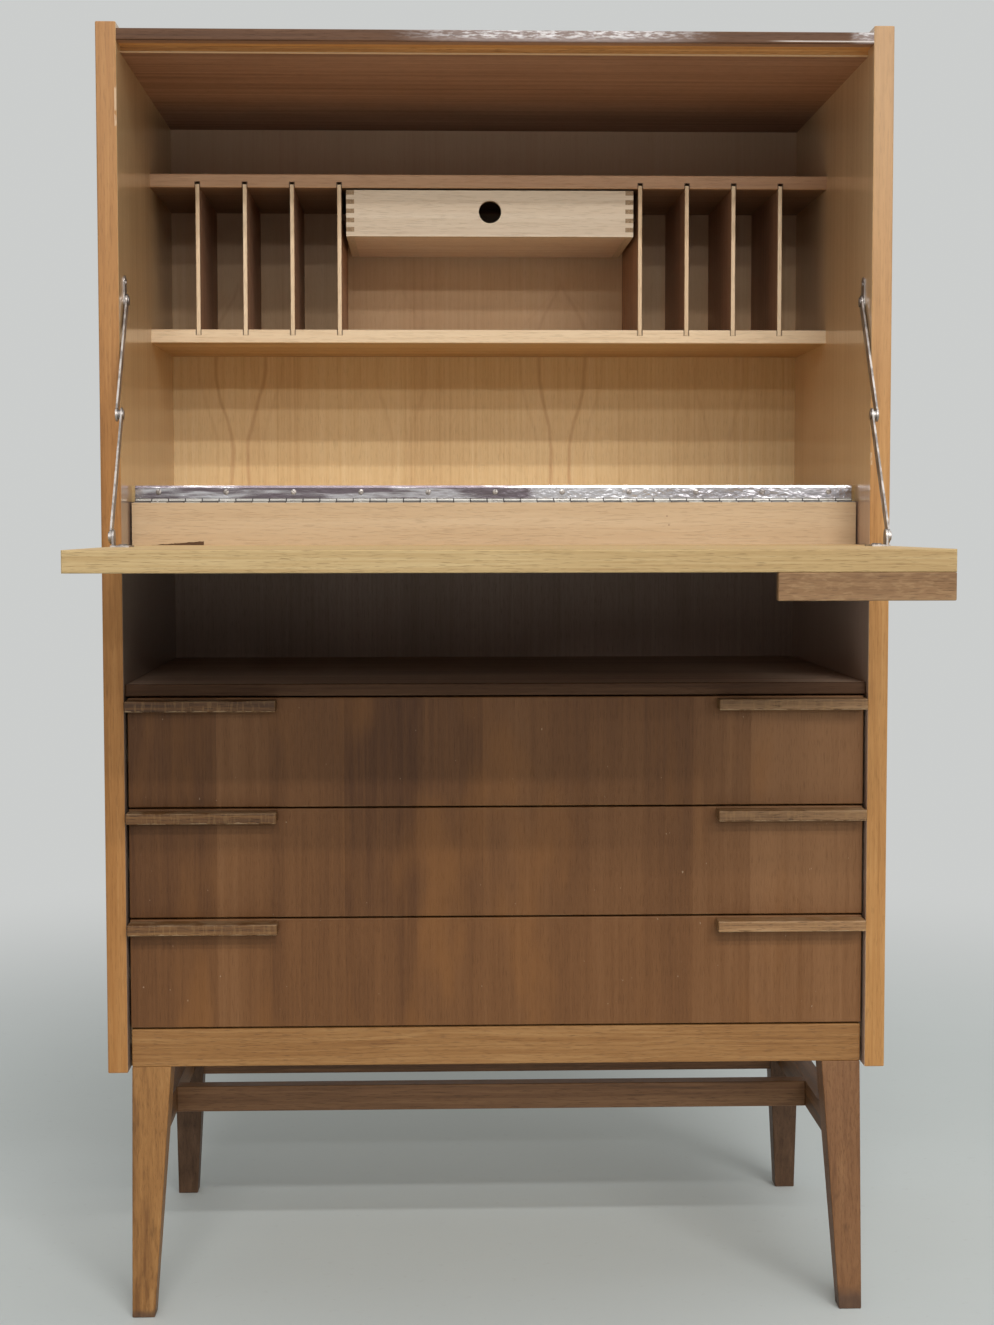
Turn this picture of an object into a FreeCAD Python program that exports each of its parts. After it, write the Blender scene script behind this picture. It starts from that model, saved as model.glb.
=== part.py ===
import FreeCAD, Part
import math
import os

# Fall-front escritoire on a base of four splayed legs, shown with its flap open.
# Sizes are in millimetres. X runs along the width, Y from the front to the back, Z up from the floor.
# While the pieces are drawn, Y is 0 at the front edges of the two side panels.

# Overall sizes
width = 760.0
depth = 445.0
front_recess = 10.0          # drawers, apron and closed flap lie this far behind the side panels' front edges
arris = 1.2                  # rounding of the boards' visible edges
fine_arris = 0.5             # rounding of thin strips

# The long drawers, from the lowest up
DRAWER_NAMES = ("lower", "middle", "upper")

# Heights from the floor up, stacked on each other
leg_height = 243.5
apron_height = 37.1
drawer_front_height = 106.7
drawer_gap = 1.6
dust_panel_thickness = 11.7
niche_height = 176.9         # open compartment between the drawers and the desk floor
floor_thickness = 16.0
desk_space = 154.7           # between the desk floor and the lower shelf
shelf_thickness = 14.2
gallery_height = 149.4       # between the two shelves
top_space = 80.5             # between the upper shelf and the top panel
top_thickness = 17.0
side_rise = 6.0              # side panels stand this far above the top panel
side_drop = 3.5              # and reach this far below the apron

# Carcass boards
side_thickness = 19.5
top_setback = 1.0
flap_rebate_height = 6.0     # rebate under the top panel's front edge that the closed flap fits into
back_thickness = 6.0
back_inset = 4.0
back_rebate = 8.0
back_gap = 0.5
bottom_thickness = 18.0
apron_thickness = 18.0
floor_setback = 75.0
gallery_depth = 193.0

# Base
base_side_gap = 2.5
base_rear_inset = 57.0
leg_top = 38.0
leg_foot = 22.0
leg_rake = 19.6              # each foot stands this far outside the top of its leg
stretcher_bottom = 149.5
stretcher_height = 27.0
side_stretcher_width = 22.0
long_stretcher_width = 20.0
rear_stretcher_lower = 5.0   # the rear stretcher lies this much lower than the others

# Dividers of the two pigeonhole racks
dividers_per_side = 4
divider_thickness = 4.2
divider_setback = 0.6
groove_depth = 6.0
groove_gap = 0.15
divider_top_gap = 2.5

# Stationery drawer that hangs between the inner dividers
stationery_width = 306.0
stationery_height = 48.5
stationery_wall = 8.5
stationery_runner_setback = 25.0   # from the back of the drawer front to its runners
stationery_bottom_thickness = 4.0
stationery_shelf_gap = 2.3
stationery_side_gap = 5.3
stationery_back_gap = 14.0
finger_count = 5
finger_hole_radius = 12.0
finger_hole_lift = 1.8
stationery_groove_height = 8.0
stationery_groove_depth = 4.0
runner_gap = 0.3

# Three long drawers
drawer_side_gap = 2.0
drawer_front_thickness = 18.0
drawer_box_gap = 8.5         # drawer side to side panel
drawer_wall = 12.0
drawer_wall_height = 84.0
drawer_box_lift = 8.0        # box above the lower edge of the drawer front
drawer_back_gap = 27.0
drawer_back_drop = 10.0
drawer_bottom_thickness = 5.0
drawer_bottom_lift = 7.0
drawer_groove_height = 14.0
drawer_groove_depth = 6.0
runner_front_gap = 4.0

# Wooden pulls on the drawers and on the flap
pull_length = 144.5
pull_height = 10.5
pull_reach = 23.0
pull_drop = 1.5              # below the top edge of a drawer front

# Flap and the riser that joins it to the hinge
flap_side_gap = 2.0
flap_thickness = 18.6
flap_lipping = 8.0
flap_top_gap = 3.0
flap_stop_gap = 0.5
riser_thickness = 17.0

# Piano hinge along the front edge of the desk floor
hinge_end_gap = 3.5
hinge_leaf_width = 14.8
hinge_leaf_thickness = 1.0
hinge_barrel_radius = 2.0
hinge_barrel_gap = 0.3       # between the barrel and the wood
hinge_pin_radius = 1.0
pin_gap = 0.05
knuckle_count = 43
knuckle_gap = 0.25
hinge_screw_count = 11
hinge_screw_margin = 23.0    # from the hinge's end to its first screw
hinge_screw_from_axis = 8.4

# Folding stays: two flat arms a side, riveted at the elbow
stay_pivot_reach = 192.8     # from the hinge axis to the stay's foot, along the flap
stay_pivot_rise = 9.4        # foot pivot above the flap's upper face
stay_plate_thickness = 1.5
stay_plate_width = 14.0
stay_plate_length = 32.0
stay_plate_below = 8.0
stay_arm_thickness = 1.8
stay_arm_width = 11.0
stay_eye_radius = 6.5
stay_gap = 0.3
rivet_radius = 2.5
rivet_head_radius = 4.4
rivet_head_thickness = 1.0
bracket_thickness = 2.0
bracket_base_width = 15.0
bracket_base_length = 34.0
bracket_base_thickness = 1.5

# Round-head wood screws
screw_radius = 1.3
screw_length = 11.0
screw_head_radius = 2.7
screw_head_height = 0.8
screw_gap = 0.1

# Places worked out from the sizes above
half_inside = width / 2 - side_thickness
apron_top = leg_height + apron_height
drawers_bottom = apron_top + drawer_gap
drawer_pitch = drawer_front_height + drawer_gap
dust_bottom = drawers_bottom + len(DRAWER_NAMES) * drawer_pitch
dust_top = dust_bottom + dust_panel_thickness
floor_bottom = dust_top + niche_height
floor_top = floor_bottom + floor_thickness
lower_shelf_bottom = floor_top + desk_space
lower_shelf_top = lower_shelf_bottom + shelf_thickness
upper_shelf_bottom = lower_shelf_top + gallery_height
upper_shelf_top = upper_shelf_bottom + shelf_thickness
top_bottom = upper_shelf_top + top_space
top_top = top_bottom + top_thickness
side_top = top_top + side_rise
side_bottom = leg_height - side_drop
bottom_panel_bottom = apron_top - bottom_thickness
back_front = depth - back_inset - back_thickness
gallery_front = back_front - gallery_depth
gallery_y = (gallery_front, back_front)
inside_x = (-half_inside, half_inside)

hinge_offset = hinge_barrel_radius + hinge_barrel_gap
hinge_y = floor_setback - hinge_offset
hinge_z = floor_top - hinge_leaf_width
riser_top = hinge_z - hinge_offset
flap_bottom = hinge_z - (hinge_y - front_recess)
flap_top = flap_bottom + flap_thickness
flap_front = hinge_y - (top_bottom + flap_rebate_height - flap_top_gap - hinge_z)
flap_half = half_inside - flap_side_gap
flap_x = (-flap_half, flap_half)
rebate_back = front_recess + flap_thickness + flap_stop_gap

foot_y = hinge_y - stay_pivot_reach
foot_z = flap_top + stay_pivot_rise
anchor_y = hinge_y - (hinge_z - foot_z)
anchor_z = hinge_z + stay_pivot_reach
elbow_y = (anchor_y + foot_y) / 2
elbow_z = (anchor_z + foot_z) / 2

plate_inside = half_inside - stay_plate_thickness
upper_arm_out = plate_inside - stay_gap
upper_arm_in = upper_arm_out - stay_arm_thickness
anchor_head_out = upper_arm_in - stay_gap
anchor_head_in = anchor_head_out - rivet_head_thickness
foot_head_out = anchor_head_in - stay_gap
foot_head_in = foot_head_out - rivet_head_thickness
lower_arm_out = foot_head_in - stay_gap
lower_arm_in = lower_arm_out - stay_arm_thickness
bracket_out = lower_arm_in - stay_gap
bracket_in = bracket_out - bracket_thickness
elbow_middle = (upper_arm_in + lower_arm_out) / 2

base_half = half_inside - base_side_gap
base_front = front_recess
base_back = depth - base_rear_inset
base_middle = (base_front + base_back) / 2
stretcher_top = stretcher_bottom + stretcher_height

inner_divider = stationery_width / 2 + stationery_side_gap + divider_thickness / 2
divider_pitch = (half_inside - inner_divider) / dividers_per_side
divider_front = gallery_front + divider_setback
stationery_half = stationery_width / 2
stationery_top = upper_shelf_bottom - stationery_shelf_gap
stationery_bottom = stationery_top - stationery_height
stationery_back = back_front - stationery_back_gap

drawer_half = half_inside - drawer_side_gap
drawer_box_half = half_inside - drawer_box_gap
drawer_back = back_front - drawer_back_gap
drawer_front_back = front_recess + drawer_front_thickness

# The part's origin is on the floor, in the middle of the space taken up with the flap open
origin_y = (flap_front + depth) / 2

Vector = FreeCAD.Vector
ALONG_X = Vector(1, 0, 0)
ALONG_Y = Vector(0, 1, 0)
UP = Vector(0, 0, 1)
LEFT, RIGHT = -1, 1
SIDES = ((LEFT, "left"), (RIGHT, "right"))


def save(name, *solids):
    """Write one node, moved so that the part's origin is at zero."""
    shape = solids[0] if len(solids) == 1 else Part.makeCompound(list(solids))
    moved = shape.copy()
    moved.translate(Vector(0, -origin_y, 0))
    moved.exportStep("parts/" + name + ".step")


def block(x, y, z):
    """Board between two limits on each axis."""
    return Part.makeBox(x[1] - x[0], y[1] - y[0], z[1] - z[0], Vector(x[0], y[0], z[0]))


def eased(shape, radius):
    """The shape with all its edges rounded."""
    return shape.makeFillet(radius, shape.Edges)


def board(x, y, z, radius=arris):
    """Board with rounded edges."""
    return eased(block(x, y, z), radius)


def across(side, near, far):
    """Limits on X of a piece between two distances from the middle, on one side."""
    return (near, far) if side == RIGHT else (-far, -near)


def disc(side, near, far, radius, y, z):
    """Round piece along X between two distances from the middle, on one side."""
    x = across(side, near, far)
    return Part.makeCylinder(radius, x[1] - x[0], Vector(x[0], y, z), ALONG_X)


def post(foot_x, foot_y_span, top_x, top_y_span, z):
    """Straight post whose rectangle changes from the foot to the top."""
    rings = []
    for x, y, height in ((foot_x, foot_y_span, z[0]), (top_x, top_y_span, z[1])):
        corners = ((x[0], y[0]), (x[1], y[0]), (x[1], y[1]), (x[0], y[1]))
        rings.append([Vector(a, b, height) for a, b in corners])
    low, high = rings
    outlines = [low, high]
    for i in range(len(low)):
        j = (i + 1) % len(low)
        outlines.append([low[i], low[j], high[j], high[i]])
    faces = [Part.Face(Part.makePolygon(outline + outline[:1])) for outline in outlines]
    return Part.makeSolid(Part.makeShell(faces))


def screw(place, direction):
    """Round-head screw whose head sits at place and whose shank runs along direction."""
    shank = Part.makeCylinder(screw_radius, screw_length, place, direction)
    head = Part.makeCylinder(screw_head_radius, screw_head_height, place, direction * -1)
    return head.fuse(shank).removeSplitter()


def screw_holes(places, direction):
    """Clearance holes for screws, as one cutter, deep enough for the shanks."""
    reach = screw_length + screw_gap
    holes = [Part.makeCylinder(screw_radius + screw_gap, reach, place, direction) for place in places]
    return Part.makeCompound(holes)


# Carcass

def side_panel(side):
    """Side panel with a rebate for the back panel and holes for the stay plate's screws."""
    panel = board(across(side, half_inside, width / 2), (0, depth), (side_bottom, side_top))
    rebate = block(across(side, half_inside - arris, half_inside + back_rebate), (back_front, depth + arris),
                   (bottom_panel_bottom, top_top))
    return panel.cut(rebate).cut(screw_holes(plate_screw_places(side), ALONG_X * side))


def top_panel():
    """Top panel with the rebate that the closed flap's upper edge fits into."""
    panel = block(inside_x, (top_setback, back_front), (top_bottom, top_top))
    rebate = block(inside_x, (top_setback, rebate_back),
                   (top_bottom, top_bottom + flap_rebate_height))
    panel = panel.cut(rebate)
    exposed = [edge for edge in panel.Edges if is_along_x(edge) and edge.BoundBox.YMax < back_front - arris]
    return panel.makeFillet(arris, exposed)


def is_along_x(edge):
    """Whether a straight edge runs across the width."""
    box = edge.BoundBox
    return box.XLength > box.YLength + box.ZLength


def back_panel():
    """Thin panel let into the rebates of the side panels."""
    half = half_inside + back_rebate - back_gap
    return block((-half, half), (back_front, back_front + back_thickness), (bottom_panel_bottom, top_top))


def bottom_panel():
    """Bottom of the carcass, behind the apron."""
    return block(inside_x, (front_recess + apron_thickness, back_front),
                 (bottom_panel_bottom, apron_top))


def dust_panel():
    """Panel above the drawers, which is the floor of the open compartment."""
    return board(inside_x, (front_recess, back_front), (dust_bottom, dust_top))


def desk_floor():
    """Fixed part of the writing surface, with holes for the hinge screws in its front edge."""
    panel = block(inside_x, (floor_setback, back_front), (floor_bottom, floor_top))
    return panel.cut(screw_holes(upper_hinge_screw_places(), ALONG_Y))


def divider_places(side):
    """Middles of the dividers of one rack, from the inner one outwards."""
    return [side * (inner_divider + i * divider_pitch) for i in range(dividers_per_side)]


def shelf(bottom, groove_from, groove_to):
    """Gallery shelf with a groove for each divider."""
    panel = block(inside_x, gallery_y, (bottom, bottom + shelf_thickness))
    front = [edge for edge in panel.Edges if is_along_x(edge) and edge.BoundBox.YMax < gallery_front + arris]
    panel = panel.makeFillet(arris, front)
    half = divider_thickness / 2 + groove_gap
    for side, _ in SIDES:
        for x in divider_places(side):
            panel = panel.cut(block((x - half, x + half), gallery_y, (groove_from, groove_to)))
    return panel


def dividers(side):
    """Thin upright dividers that stand in the grooves of both shelves."""
    low = lower_shelf_top - groove_depth
    high = upper_shelf_bottom + groove_depth - divider_top_gap
    half = divider_thickness / 2
    return [board((x - half, x + half), (divider_front, back_front), (low, high), fine_arris)
            for x in divider_places(side)]


# Base

def leg_post(side, front):
    """Splayed leg: upright on its outer side, tapered inwards, raked towards the front or the back."""
    top_x = across(side, base_half - leg_top, base_half)
    foot_x = across(side, base_half - leg_foot, base_half)
    if front:
        top_span = (base_front, base_front + leg_top)
        foot_span = (base_front - leg_rake, base_front - leg_rake + leg_foot)
    else:
        top_span = (base_back - leg_top, base_back)
        foot_span = (base_back + leg_rake - leg_foot, base_back + leg_rake)
    return post(foot_x, foot_span, top_x, top_span, (0, leg_height))


def leg(side, front):
    """The leg with its edges rounded."""
    return eased(leg_post(side, front), arris)


def apron():
    """Front rail of the base, above the legs."""
    y = (front_recess, front_recess + apron_thickness)
    return board((-base_half, base_half), y, (leg_height, apron_top))


def bearer(side):
    """Rail that carries the carcass on the legs of one side."""
    return block(across(side, base_half - leg_top, base_half), (front_recess + apron_thickness, base_back),
                 (leg_height, bottom_panel_bottom))


def side_stretcher(side):
    """Rail between the front and the rear leg of one side."""
    rail = block(across(side, base_half - side_stretcher_width, base_half),
                 (base_front + leg_foot / 2, base_back - leg_foot / 2), (stretcher_bottom, stretcher_top))
    return rail.cut(leg_post(side, True)).cut(leg_post(side, False))


def long_stretcher():
    """Rail across the width, between the two side stretchers."""
    half = base_half - side_stretcher_width
    y = (base_middle - long_stretcher_width / 2, base_middle + long_stretcher_width / 2)
    return board((-half, half), y, (stretcher_bottom, stretcher_top))


def rear_stretcher():
    """Rail between the two rear legs."""
    half = base_half - leg_foot / 2
    front = base_back - long_stretcher_width
    rail = block((-half, half), (front, base_back),
                 (stretcher_bottom - rear_stretcher_lower, stretcher_top - rear_stretcher_lower))
    return rail.cut(leg_post(LEFT, False)).cut(leg_post(RIGHT, False))


# Long drawers

def drawer_level(index):
    """Height of a drawer front's lower edge, counted from the lowest drawer."""
    return drawers_bottom + index * drawer_pitch


def drawer_front(index):
    """Inset front."""
    low = drawer_level(index)
    z = (low, low + drawer_front_height)
    return board((-drawer_half, drawer_half), (front_recess, drawer_front_back), z)


def groove_span(index, margin):
    """Heights of the groove in a drawer's sides, or of its runner with a margin."""
    middle = drawer_level(index) + drawer_box_lift + drawer_wall_height / 2
    return (middle - drawer_groove_height / 2 + margin, middle + drawer_groove_height / 2 - margin)


def drawer_sides(index):
    """Two sides, each with a groove that the runner fits into."""
    low = drawer_level(index) + drawer_box_lift
    walls = []
    for side, _ in SIDES:
        wall = block(across(side, drawer_box_half - drawer_wall, drawer_box_half),
                     (drawer_front_back, drawer_back), (low, low + drawer_wall_height))
        groove = block(across(side, drawer_box_half - drawer_groove_depth, drawer_box_half),
                       (drawer_front_back, drawer_back), groove_span(index, 0))
        walls.append(wall.cut(groove))
    return walls


def drawer_back_board(index):
    """Back between the two sides, standing on the drawer's bottom."""
    half = drawer_box_half - drawer_wall
    box_low = drawer_level(index) + drawer_box_lift
    low = box_low + drawer_bottom_lift + drawer_bottom_thickness
    high = box_low + drawer_wall_height - drawer_back_drop
    return block((-half, half), (drawer_back - drawer_wall, drawer_back), (low, high))


def drawer_bottom(index):
    """Thin bottom between the two sides."""
    half = drawer_box_half - drawer_wall
    low = drawer_level(index) + drawer_box_lift + drawer_bottom_lift
    return block((-half, half), (drawer_front_back, drawer_back), (low, low + drawer_bottom_thickness))


def drawer_pulls(index):
    """Two wooden bars along the upper edge of the front, one at each end."""
    high = drawer_level(index) + drawer_front_height - pull_drop
    y = (front_recess - pull_reach, front_recess)
    z = (high - pull_height, high)
    return [board(across(side, drawer_half - pull_length, drawer_half), y, z) for side, _ in SIDES]


def drawer_runners():
    """Strips on the side panels that carry the drawers."""
    strips = []
    for index in range(len(DRAWER_NAMES)):
        for side, _ in SIDES:
            strips.append(block(across(side, drawer_box_half - drawer_groove_depth + runner_gap, half_inside),
                                (drawer_front_back + runner_front_gap, back_front),
                                groove_span(index, runner_gap)))
    return strips


# Stationery drawer

def finger_spans(first):
    """Heights of every second finger of the corner joints, from the first one up."""
    step = stationery_height / (2 * finger_count)
    return [(stationery_bottom + (2 * i + first) * step, stationery_bottom + (2 * i + first + 1) * step)
            for i in range(finger_count)]


def stationery_front():
    """Front with a round finger hole, notched at both ends for the sides' fingers."""
    span = (gallery_front, gallery_front + stationery_wall)
    panel = block((-stationery_half, stationery_half), span, (stationery_bottom, stationery_top))
    for side, _ in SIDES:
        end = across(side, stationery_half - stationery_wall, stationery_half)
        for heights in finger_spans(1):
            panel = panel.cut(block(end, span, heights))
    middle = (stationery_bottom + stationery_top) / 2 + finger_hole_lift
    hole = Part.makeCylinder(finger_hole_radius, stationery_wall, Vector(0, gallery_front, middle), ALONG_Y)
    return panel.cut(hole)


def stationery_groove(margin):
    """Heights of the groove for the hanging runner, or of the runner with a margin."""
    middle = (stationery_bottom + stationery_top) / 2
    return (middle - stationery_groove_height / 2 + margin, middle + stationery_groove_height / 2 - margin)


def stationery_sides():
    """Two sides with fingers at the front and a groove along the outer face."""
    walls = []
    for side, _ in SIDES:
        x = across(side, stationery_half - stationery_wall, stationery_half)
        wall = block(x, (gallery_front, stationery_back), (stationery_bottom, stationery_top))
        for heights in finger_spans(0):
            wall = wall.cut(block(x, (gallery_front, gallery_front + stationery_wall), heights))
        groove = block(across(side, stationery_half - stationery_groove_depth, stationery_half),
                       (gallery_front + stationery_wall, stationery_back), stationery_groove(0))
        walls.append(wall.cut(groove))
    return walls


def stationery_back_board():
    """Back between the two sides."""
    half = stationery_half - stationery_wall
    return block((-half, half), (stationery_back - stationery_wall, stationery_back),
                 (stationery_bottom + stationery_bottom_thickness, stationery_top))


def stationery_bottom_board():
    """Bottom between the front and the two sides."""
    half = stationery_half - stationery_wall
    return block((-half, half), (gallery_front + stationery_wall, stationery_back),
                 (stationery_bottom, stationery_bottom + stationery_bottom_thickness))


def stationery_runners():
    """Strips on the inner dividers that the stationery drawer hangs on."""
    outer = inner_divider - divider_thickness / 2
    inner = stationery_half - stationery_groove_depth + runner_gap
    front = gallery_front + stationery_wall + stationery_runner_setback
    return [block(across(side, inner, outer), (front, back_front), stationery_groove(runner_gap))
            for side, _ in SIDES]


# Flap

def flap_panel():
    """Writing flap behind its front lipping, with holes for the screws of the stay brackets."""
    panel = block(flap_x, (flap_front + flap_lipping, floor_setback), (flap_bottom, flap_top))
    for side, _ in SIDES:
        panel = panel.cut(screw_holes(bracket_screw_places(side, flap_top), UP * -1))
    return panel


def flap_lipping_strip():
    """Solid edge along the front of the flap."""
    strip = block(flap_x, (flap_front, flap_front + flap_lipping), (flap_bottom, flap_top))
    front = [edge for edge in strip.Edges if edge.BoundBox.YMax < flap_front + fine_arris]
    return strip.makeFillet(arris, front)


def flap_riser():
    """Upright board between the flap and the hinge, with holes for the hinge screws in its upper edge."""
    panel = block(flap_x, (floor_setback - riser_thickness, floor_setback), (flap_top, riser_top))
    return panel.cut(screw_holes(lower_hinge_screw_places(riser_top), UP * -1))


def flap_pull():
    """Wooden bar under the right end of the flap's front edge."""
    return board((flap_half - pull_length, flap_half), (flap_front, flap_front + pull_height),
                 (flap_bottom - pull_reach, flap_bottom))


# Piano hinge

def knuckle_spans(first):
    """Limits on X of every second knuckle of the hinge."""
    half = half_inside - hinge_end_gap
    step = 2 * half / knuckle_count
    return [(-half + i * step, -half + (i + 1) * step) for i in range(first, knuckle_count, 2)]


def barrel(span, radius, margin):
    """Cylinder about the hinge axis, shortened by a margin at both ends."""
    start = Vector(span[0] + margin, hinge_y, hinge_z)
    return Part.makeCylinder(radius, span[1] - span[0] - 2 * margin, start, ALONG_X)


def hinge_leaf(plate, first):
    """A leaf with its own knuckles, cleared round the other leaf's knuckles and bored for the pin."""
    for span in knuckle_spans(1 - first):
        plate = plate.cut(barrel(span, hinge_barrel_radius + hinge_barrel_gap, 0))
    own = [barrel(span, hinge_barrel_radius, knuckle_gap / 2) for span in knuckle_spans(first)]
    half = half_inside - hinge_end_gap
    return plate.fuse(own).cut(barrel((-half, half), hinge_pin_radius + pin_gap, 0))


def hinge_upper_leaf():
    """Leaf on the front edge of the desk floor."""
    half = half_inside - hinge_end_gap
    plate = block((-half, half), (floor_setback - hinge_leaf_thickness, floor_setback), (hinge_z, floor_top))
    plate = hinge_leaf(plate, 0)
    return plate.cut(screw_holes(leaf_places(upper_hinge_screw_places(), ALONG_Y), ALONG_Y))


def hinge_lower_leaf():
    """Leaf on the upper edge of the riser."""
    half = half_inside - hinge_end_gap
    plate = block((-half, half), (floor_setback - riser_thickness, hinge_y),
                  (riser_top, riser_top + hinge_leaf_thickness))
    plate = hinge_leaf(plate, 1)
    return plate.cut(screw_holes(leaf_places(lower_hinge_screw_places(riser_top), UP * -1), UP * -1))


def hinge_pin():
    """Wire through all the knuckles."""
    half = half_inside - hinge_end_gap
    return barrel((-half, half), hinge_pin_radius, 0)


def hinge_screw_xs():
    """Evenly spaced places of the hinge screws across the width."""
    reach = half_inside - hinge_end_gap - hinge_screw_margin
    step = 2 * reach / (hinge_screw_count - 1)
    return [-reach + i * step for i in range(hinge_screw_count)]


def upper_hinge_screw_places():
    """Where the upper screws enter the desk floor's front edge."""
    return [Vector(x, floor_setback, hinge_z + hinge_screw_from_axis) for x in hinge_screw_xs()]


def lower_hinge_screw_places(z):
    """Where the lower screws enter the riser's upper edge."""
    return [Vector(x, hinge_y - hinge_screw_from_axis, z) for x in hinge_screw_xs()]


def leaf_places(places, direction):
    """The same places on the outer face of the hinge leaf."""
    return [place - direction * hinge_leaf_thickness for place in places]


# Folding stays

def plate_screw_places(side):
    """Where the stay plate's screws enter the side panel."""
    z = anchor_z - stay_plate_below + stay_plate_length - stay_plate_width / 2
    return [Vector(side * half_inside, anchor_y, z)]


def stay_plate(side):
    """Plate on the side panel with the rivet that the upper arm turns on."""
    half = stay_plate_width / 2
    low = anchor_z - stay_plate_below
    plate = block(across(side, plate_inside, half_inside), (anchor_y - half, anchor_y + half),
                  (low, low + stay_plate_length))
    corners = [edge for edge in plate.Edges if is_along_x(edge)]
    plate = plate.makeFillet(half - fine_arris, corners)
    plate = plate.cut(screw_holes(face_places(side, plate_inside), ALONG_X * side))
    pin = disc(side, anchor_head_in, plate_inside, rivet_radius, anchor_y, anchor_z)
    head = disc(side, anchor_head_in, anchor_head_out, rivet_head_radius, anchor_y, anchor_z)
    return plate.fuse([pin, head]).removeSplitter()


def face_places(side, x):
    """The stay plate's screw places, moved to its inner face."""
    return [Vector(side * x, place.y, place.z) for place in plate_screw_places(side)]


def arm(side, near, far, start, end, pivot):
    """Flat bar with round ends between two points of the side view, with a hole at its pivot."""
    length = math.hypot(end[0] - start[0], end[1] - start[1])
    angle = math.degrees(math.atan2(end[1] - start[1], end[0] - start[0]))
    half = stay_arm_width / 2
    bar = block(across(side, near, far), (start[0], start[0] + length), (start[1] - half, start[1] + half))
    bar.rotate(Vector(0, start[0], start[1]), ALONG_X, angle)
    eyes = [disc(side, near, far, stay_eye_radius, *point) for point in (start, end)]
    hole = disc(side, near, far, rivet_radius + pin_gap, *pivot)
    return bar.fuse(eyes).removeSplitter().cut(hole)


def stay_upper_arm(side):
    """Arm from the plate to the elbow, with its half of the elbow rivet."""
    anchor, elbow = (anchor_y, anchor_z), (elbow_y, elbow_z)
    bar = arm(side, upper_arm_in, upper_arm_out, anchor, elbow, anchor)
    boss = disc(side, elbow_middle + stay_gap / 2, upper_arm_in, rivet_head_radius, *elbow)
    return bar.fuse(boss).removeSplitter()


def stay_lower_arm(side):
    """Arm from the elbow to the flap's bracket, with its half of the elbow rivet and the rivet's head."""
    foot, elbow = (foot_y, foot_z), (elbow_y, elbow_z)
    bar = arm(side, lower_arm_in, lower_arm_out, foot, elbow, foot)
    boss = disc(side, lower_arm_out, elbow_middle - stay_gap / 2, rivet_head_radius, *elbow)
    head = disc(side, lower_arm_in - rivet_head_thickness, lower_arm_in, rivet_head_radius, *elbow)
    return bar.fuse([boss, head]).removeSplitter()


def bracket_screw_places(side, z):
    """Where the bracket's two screws enter the flap, or their places at another height."""
    x = side * (bracket_in - bracket_base_width / 2)
    reach = bracket_base_length / 2 - bracket_base_width / 2
    return [Vector(x, foot_y - reach, z), Vector(x, foot_y + reach, z)]


def stay_bracket(side):
    """Angle bracket on the flap with the rivet that the lower arm turns on."""
    half = bracket_base_length / 2
    base_top = flap_top + bracket_base_thickness
    base = block(across(side, bracket_in - bracket_base_width, bracket_out), (foot_y - half, foot_y + half),
                 (flap_top, base_top))
    base = base.cut(screw_holes(bracket_screw_places(side, base_top), UP * -1))
    ear = disc(side, bracket_in, bracket_out, stay_eye_radius, foot_y, foot_z)
    web = block(across(side, bracket_in, bracket_out), (foot_y - stay_eye_radius, foot_y + stay_eye_radius),
                (flap_top, foot_z))
    pin = disc(side, bracket_out, foot_head_out, rivet_radius, foot_y, foot_z)
    head = disc(side, foot_head_in, foot_head_out, rivet_head_radius, foot_y, foot_z)
    return base.fuse([ear, web, pin, head]).removeSplitter()


# Screws

def carcass_screws():
    """Screws of the upper hinge leaf and of the two stay plates."""
    screws = [screw(place, ALONG_Y) for place in leaf_places(upper_hinge_screw_places(), ALONG_Y)]
    for side, _ in SIDES:
        screws += [screw(place, ALONG_X * side) for place in face_places(side, plate_inside)]
    return screws


def flap_screws():
    """Screws of the lower hinge leaf and of the two stay brackets."""
    screws = [screw(place, UP * -1) for place in leaf_places(lower_hinge_screw_places(riser_top), UP * -1)]
    for side, _ in SIDES:
        places = bracket_screw_places(side, flap_top + bracket_base_thickness)
        screws += [screw(place, UP * -1) for place in places]
    return screws


def write_carcass():
    """Panels, shelves and dividers."""
    for side, name in SIDES:
        save(name + "_side_panel", side_panel(side))
        save(name + "_dividers", *dividers(side))
    save("top_panel", top_panel())
    save("back_panel", back_panel())
    save("bottom_panel", bottom_panel())
    save("dust_panel", dust_panel())
    save("desk_floor", desk_floor())
    save("upper_shelf", shelf(upper_shelf_bottom, upper_shelf_bottom, upper_shelf_bottom + groove_depth))
    save("lower_shelf", shelf(lower_shelf_bottom, lower_shelf_top - groove_depth, lower_shelf_top))
    save("drawer_runners", *drawer_runners())
    save("stationery_runners", *stationery_runners())
    save("carcass_screws", *carcass_screws())


def write_base():
    """Legs, rails and stretchers."""
    save("apron", apron())
    for side, name in SIDES:
        save("front_" + name + "_leg", leg(side, True))
        save("rear_" + name + "_leg", leg(side, False))
        save(name + "_bearer", bearer(side))
        save(name + "_side_stretcher", side_stretcher(side))
    save("long_stretcher", long_stretcher())
    save("rear_stretcher", rear_stretcher())


def write_drawers():
    """The long drawers and the stationery drawer."""
    for index, level in enumerate(DRAWER_NAMES):
        save(level + "_drawer_front", drawer_front(index))
        save(level + "_drawer_sides", *drawer_sides(index))
        save(level + "_drawer_back", drawer_back_board(index))
        save(level + "_drawer_bottom", drawer_bottom(index))
        save(level + "_drawer_pulls", *drawer_pulls(index))
    save("stationery_drawer_front", stationery_front())
    save("stationery_drawer_sides", *stationery_sides())
    save("stationery_drawer_back", stationery_back_board())
    save("stationery_drawer_bottom", stationery_bottom_board())


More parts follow.
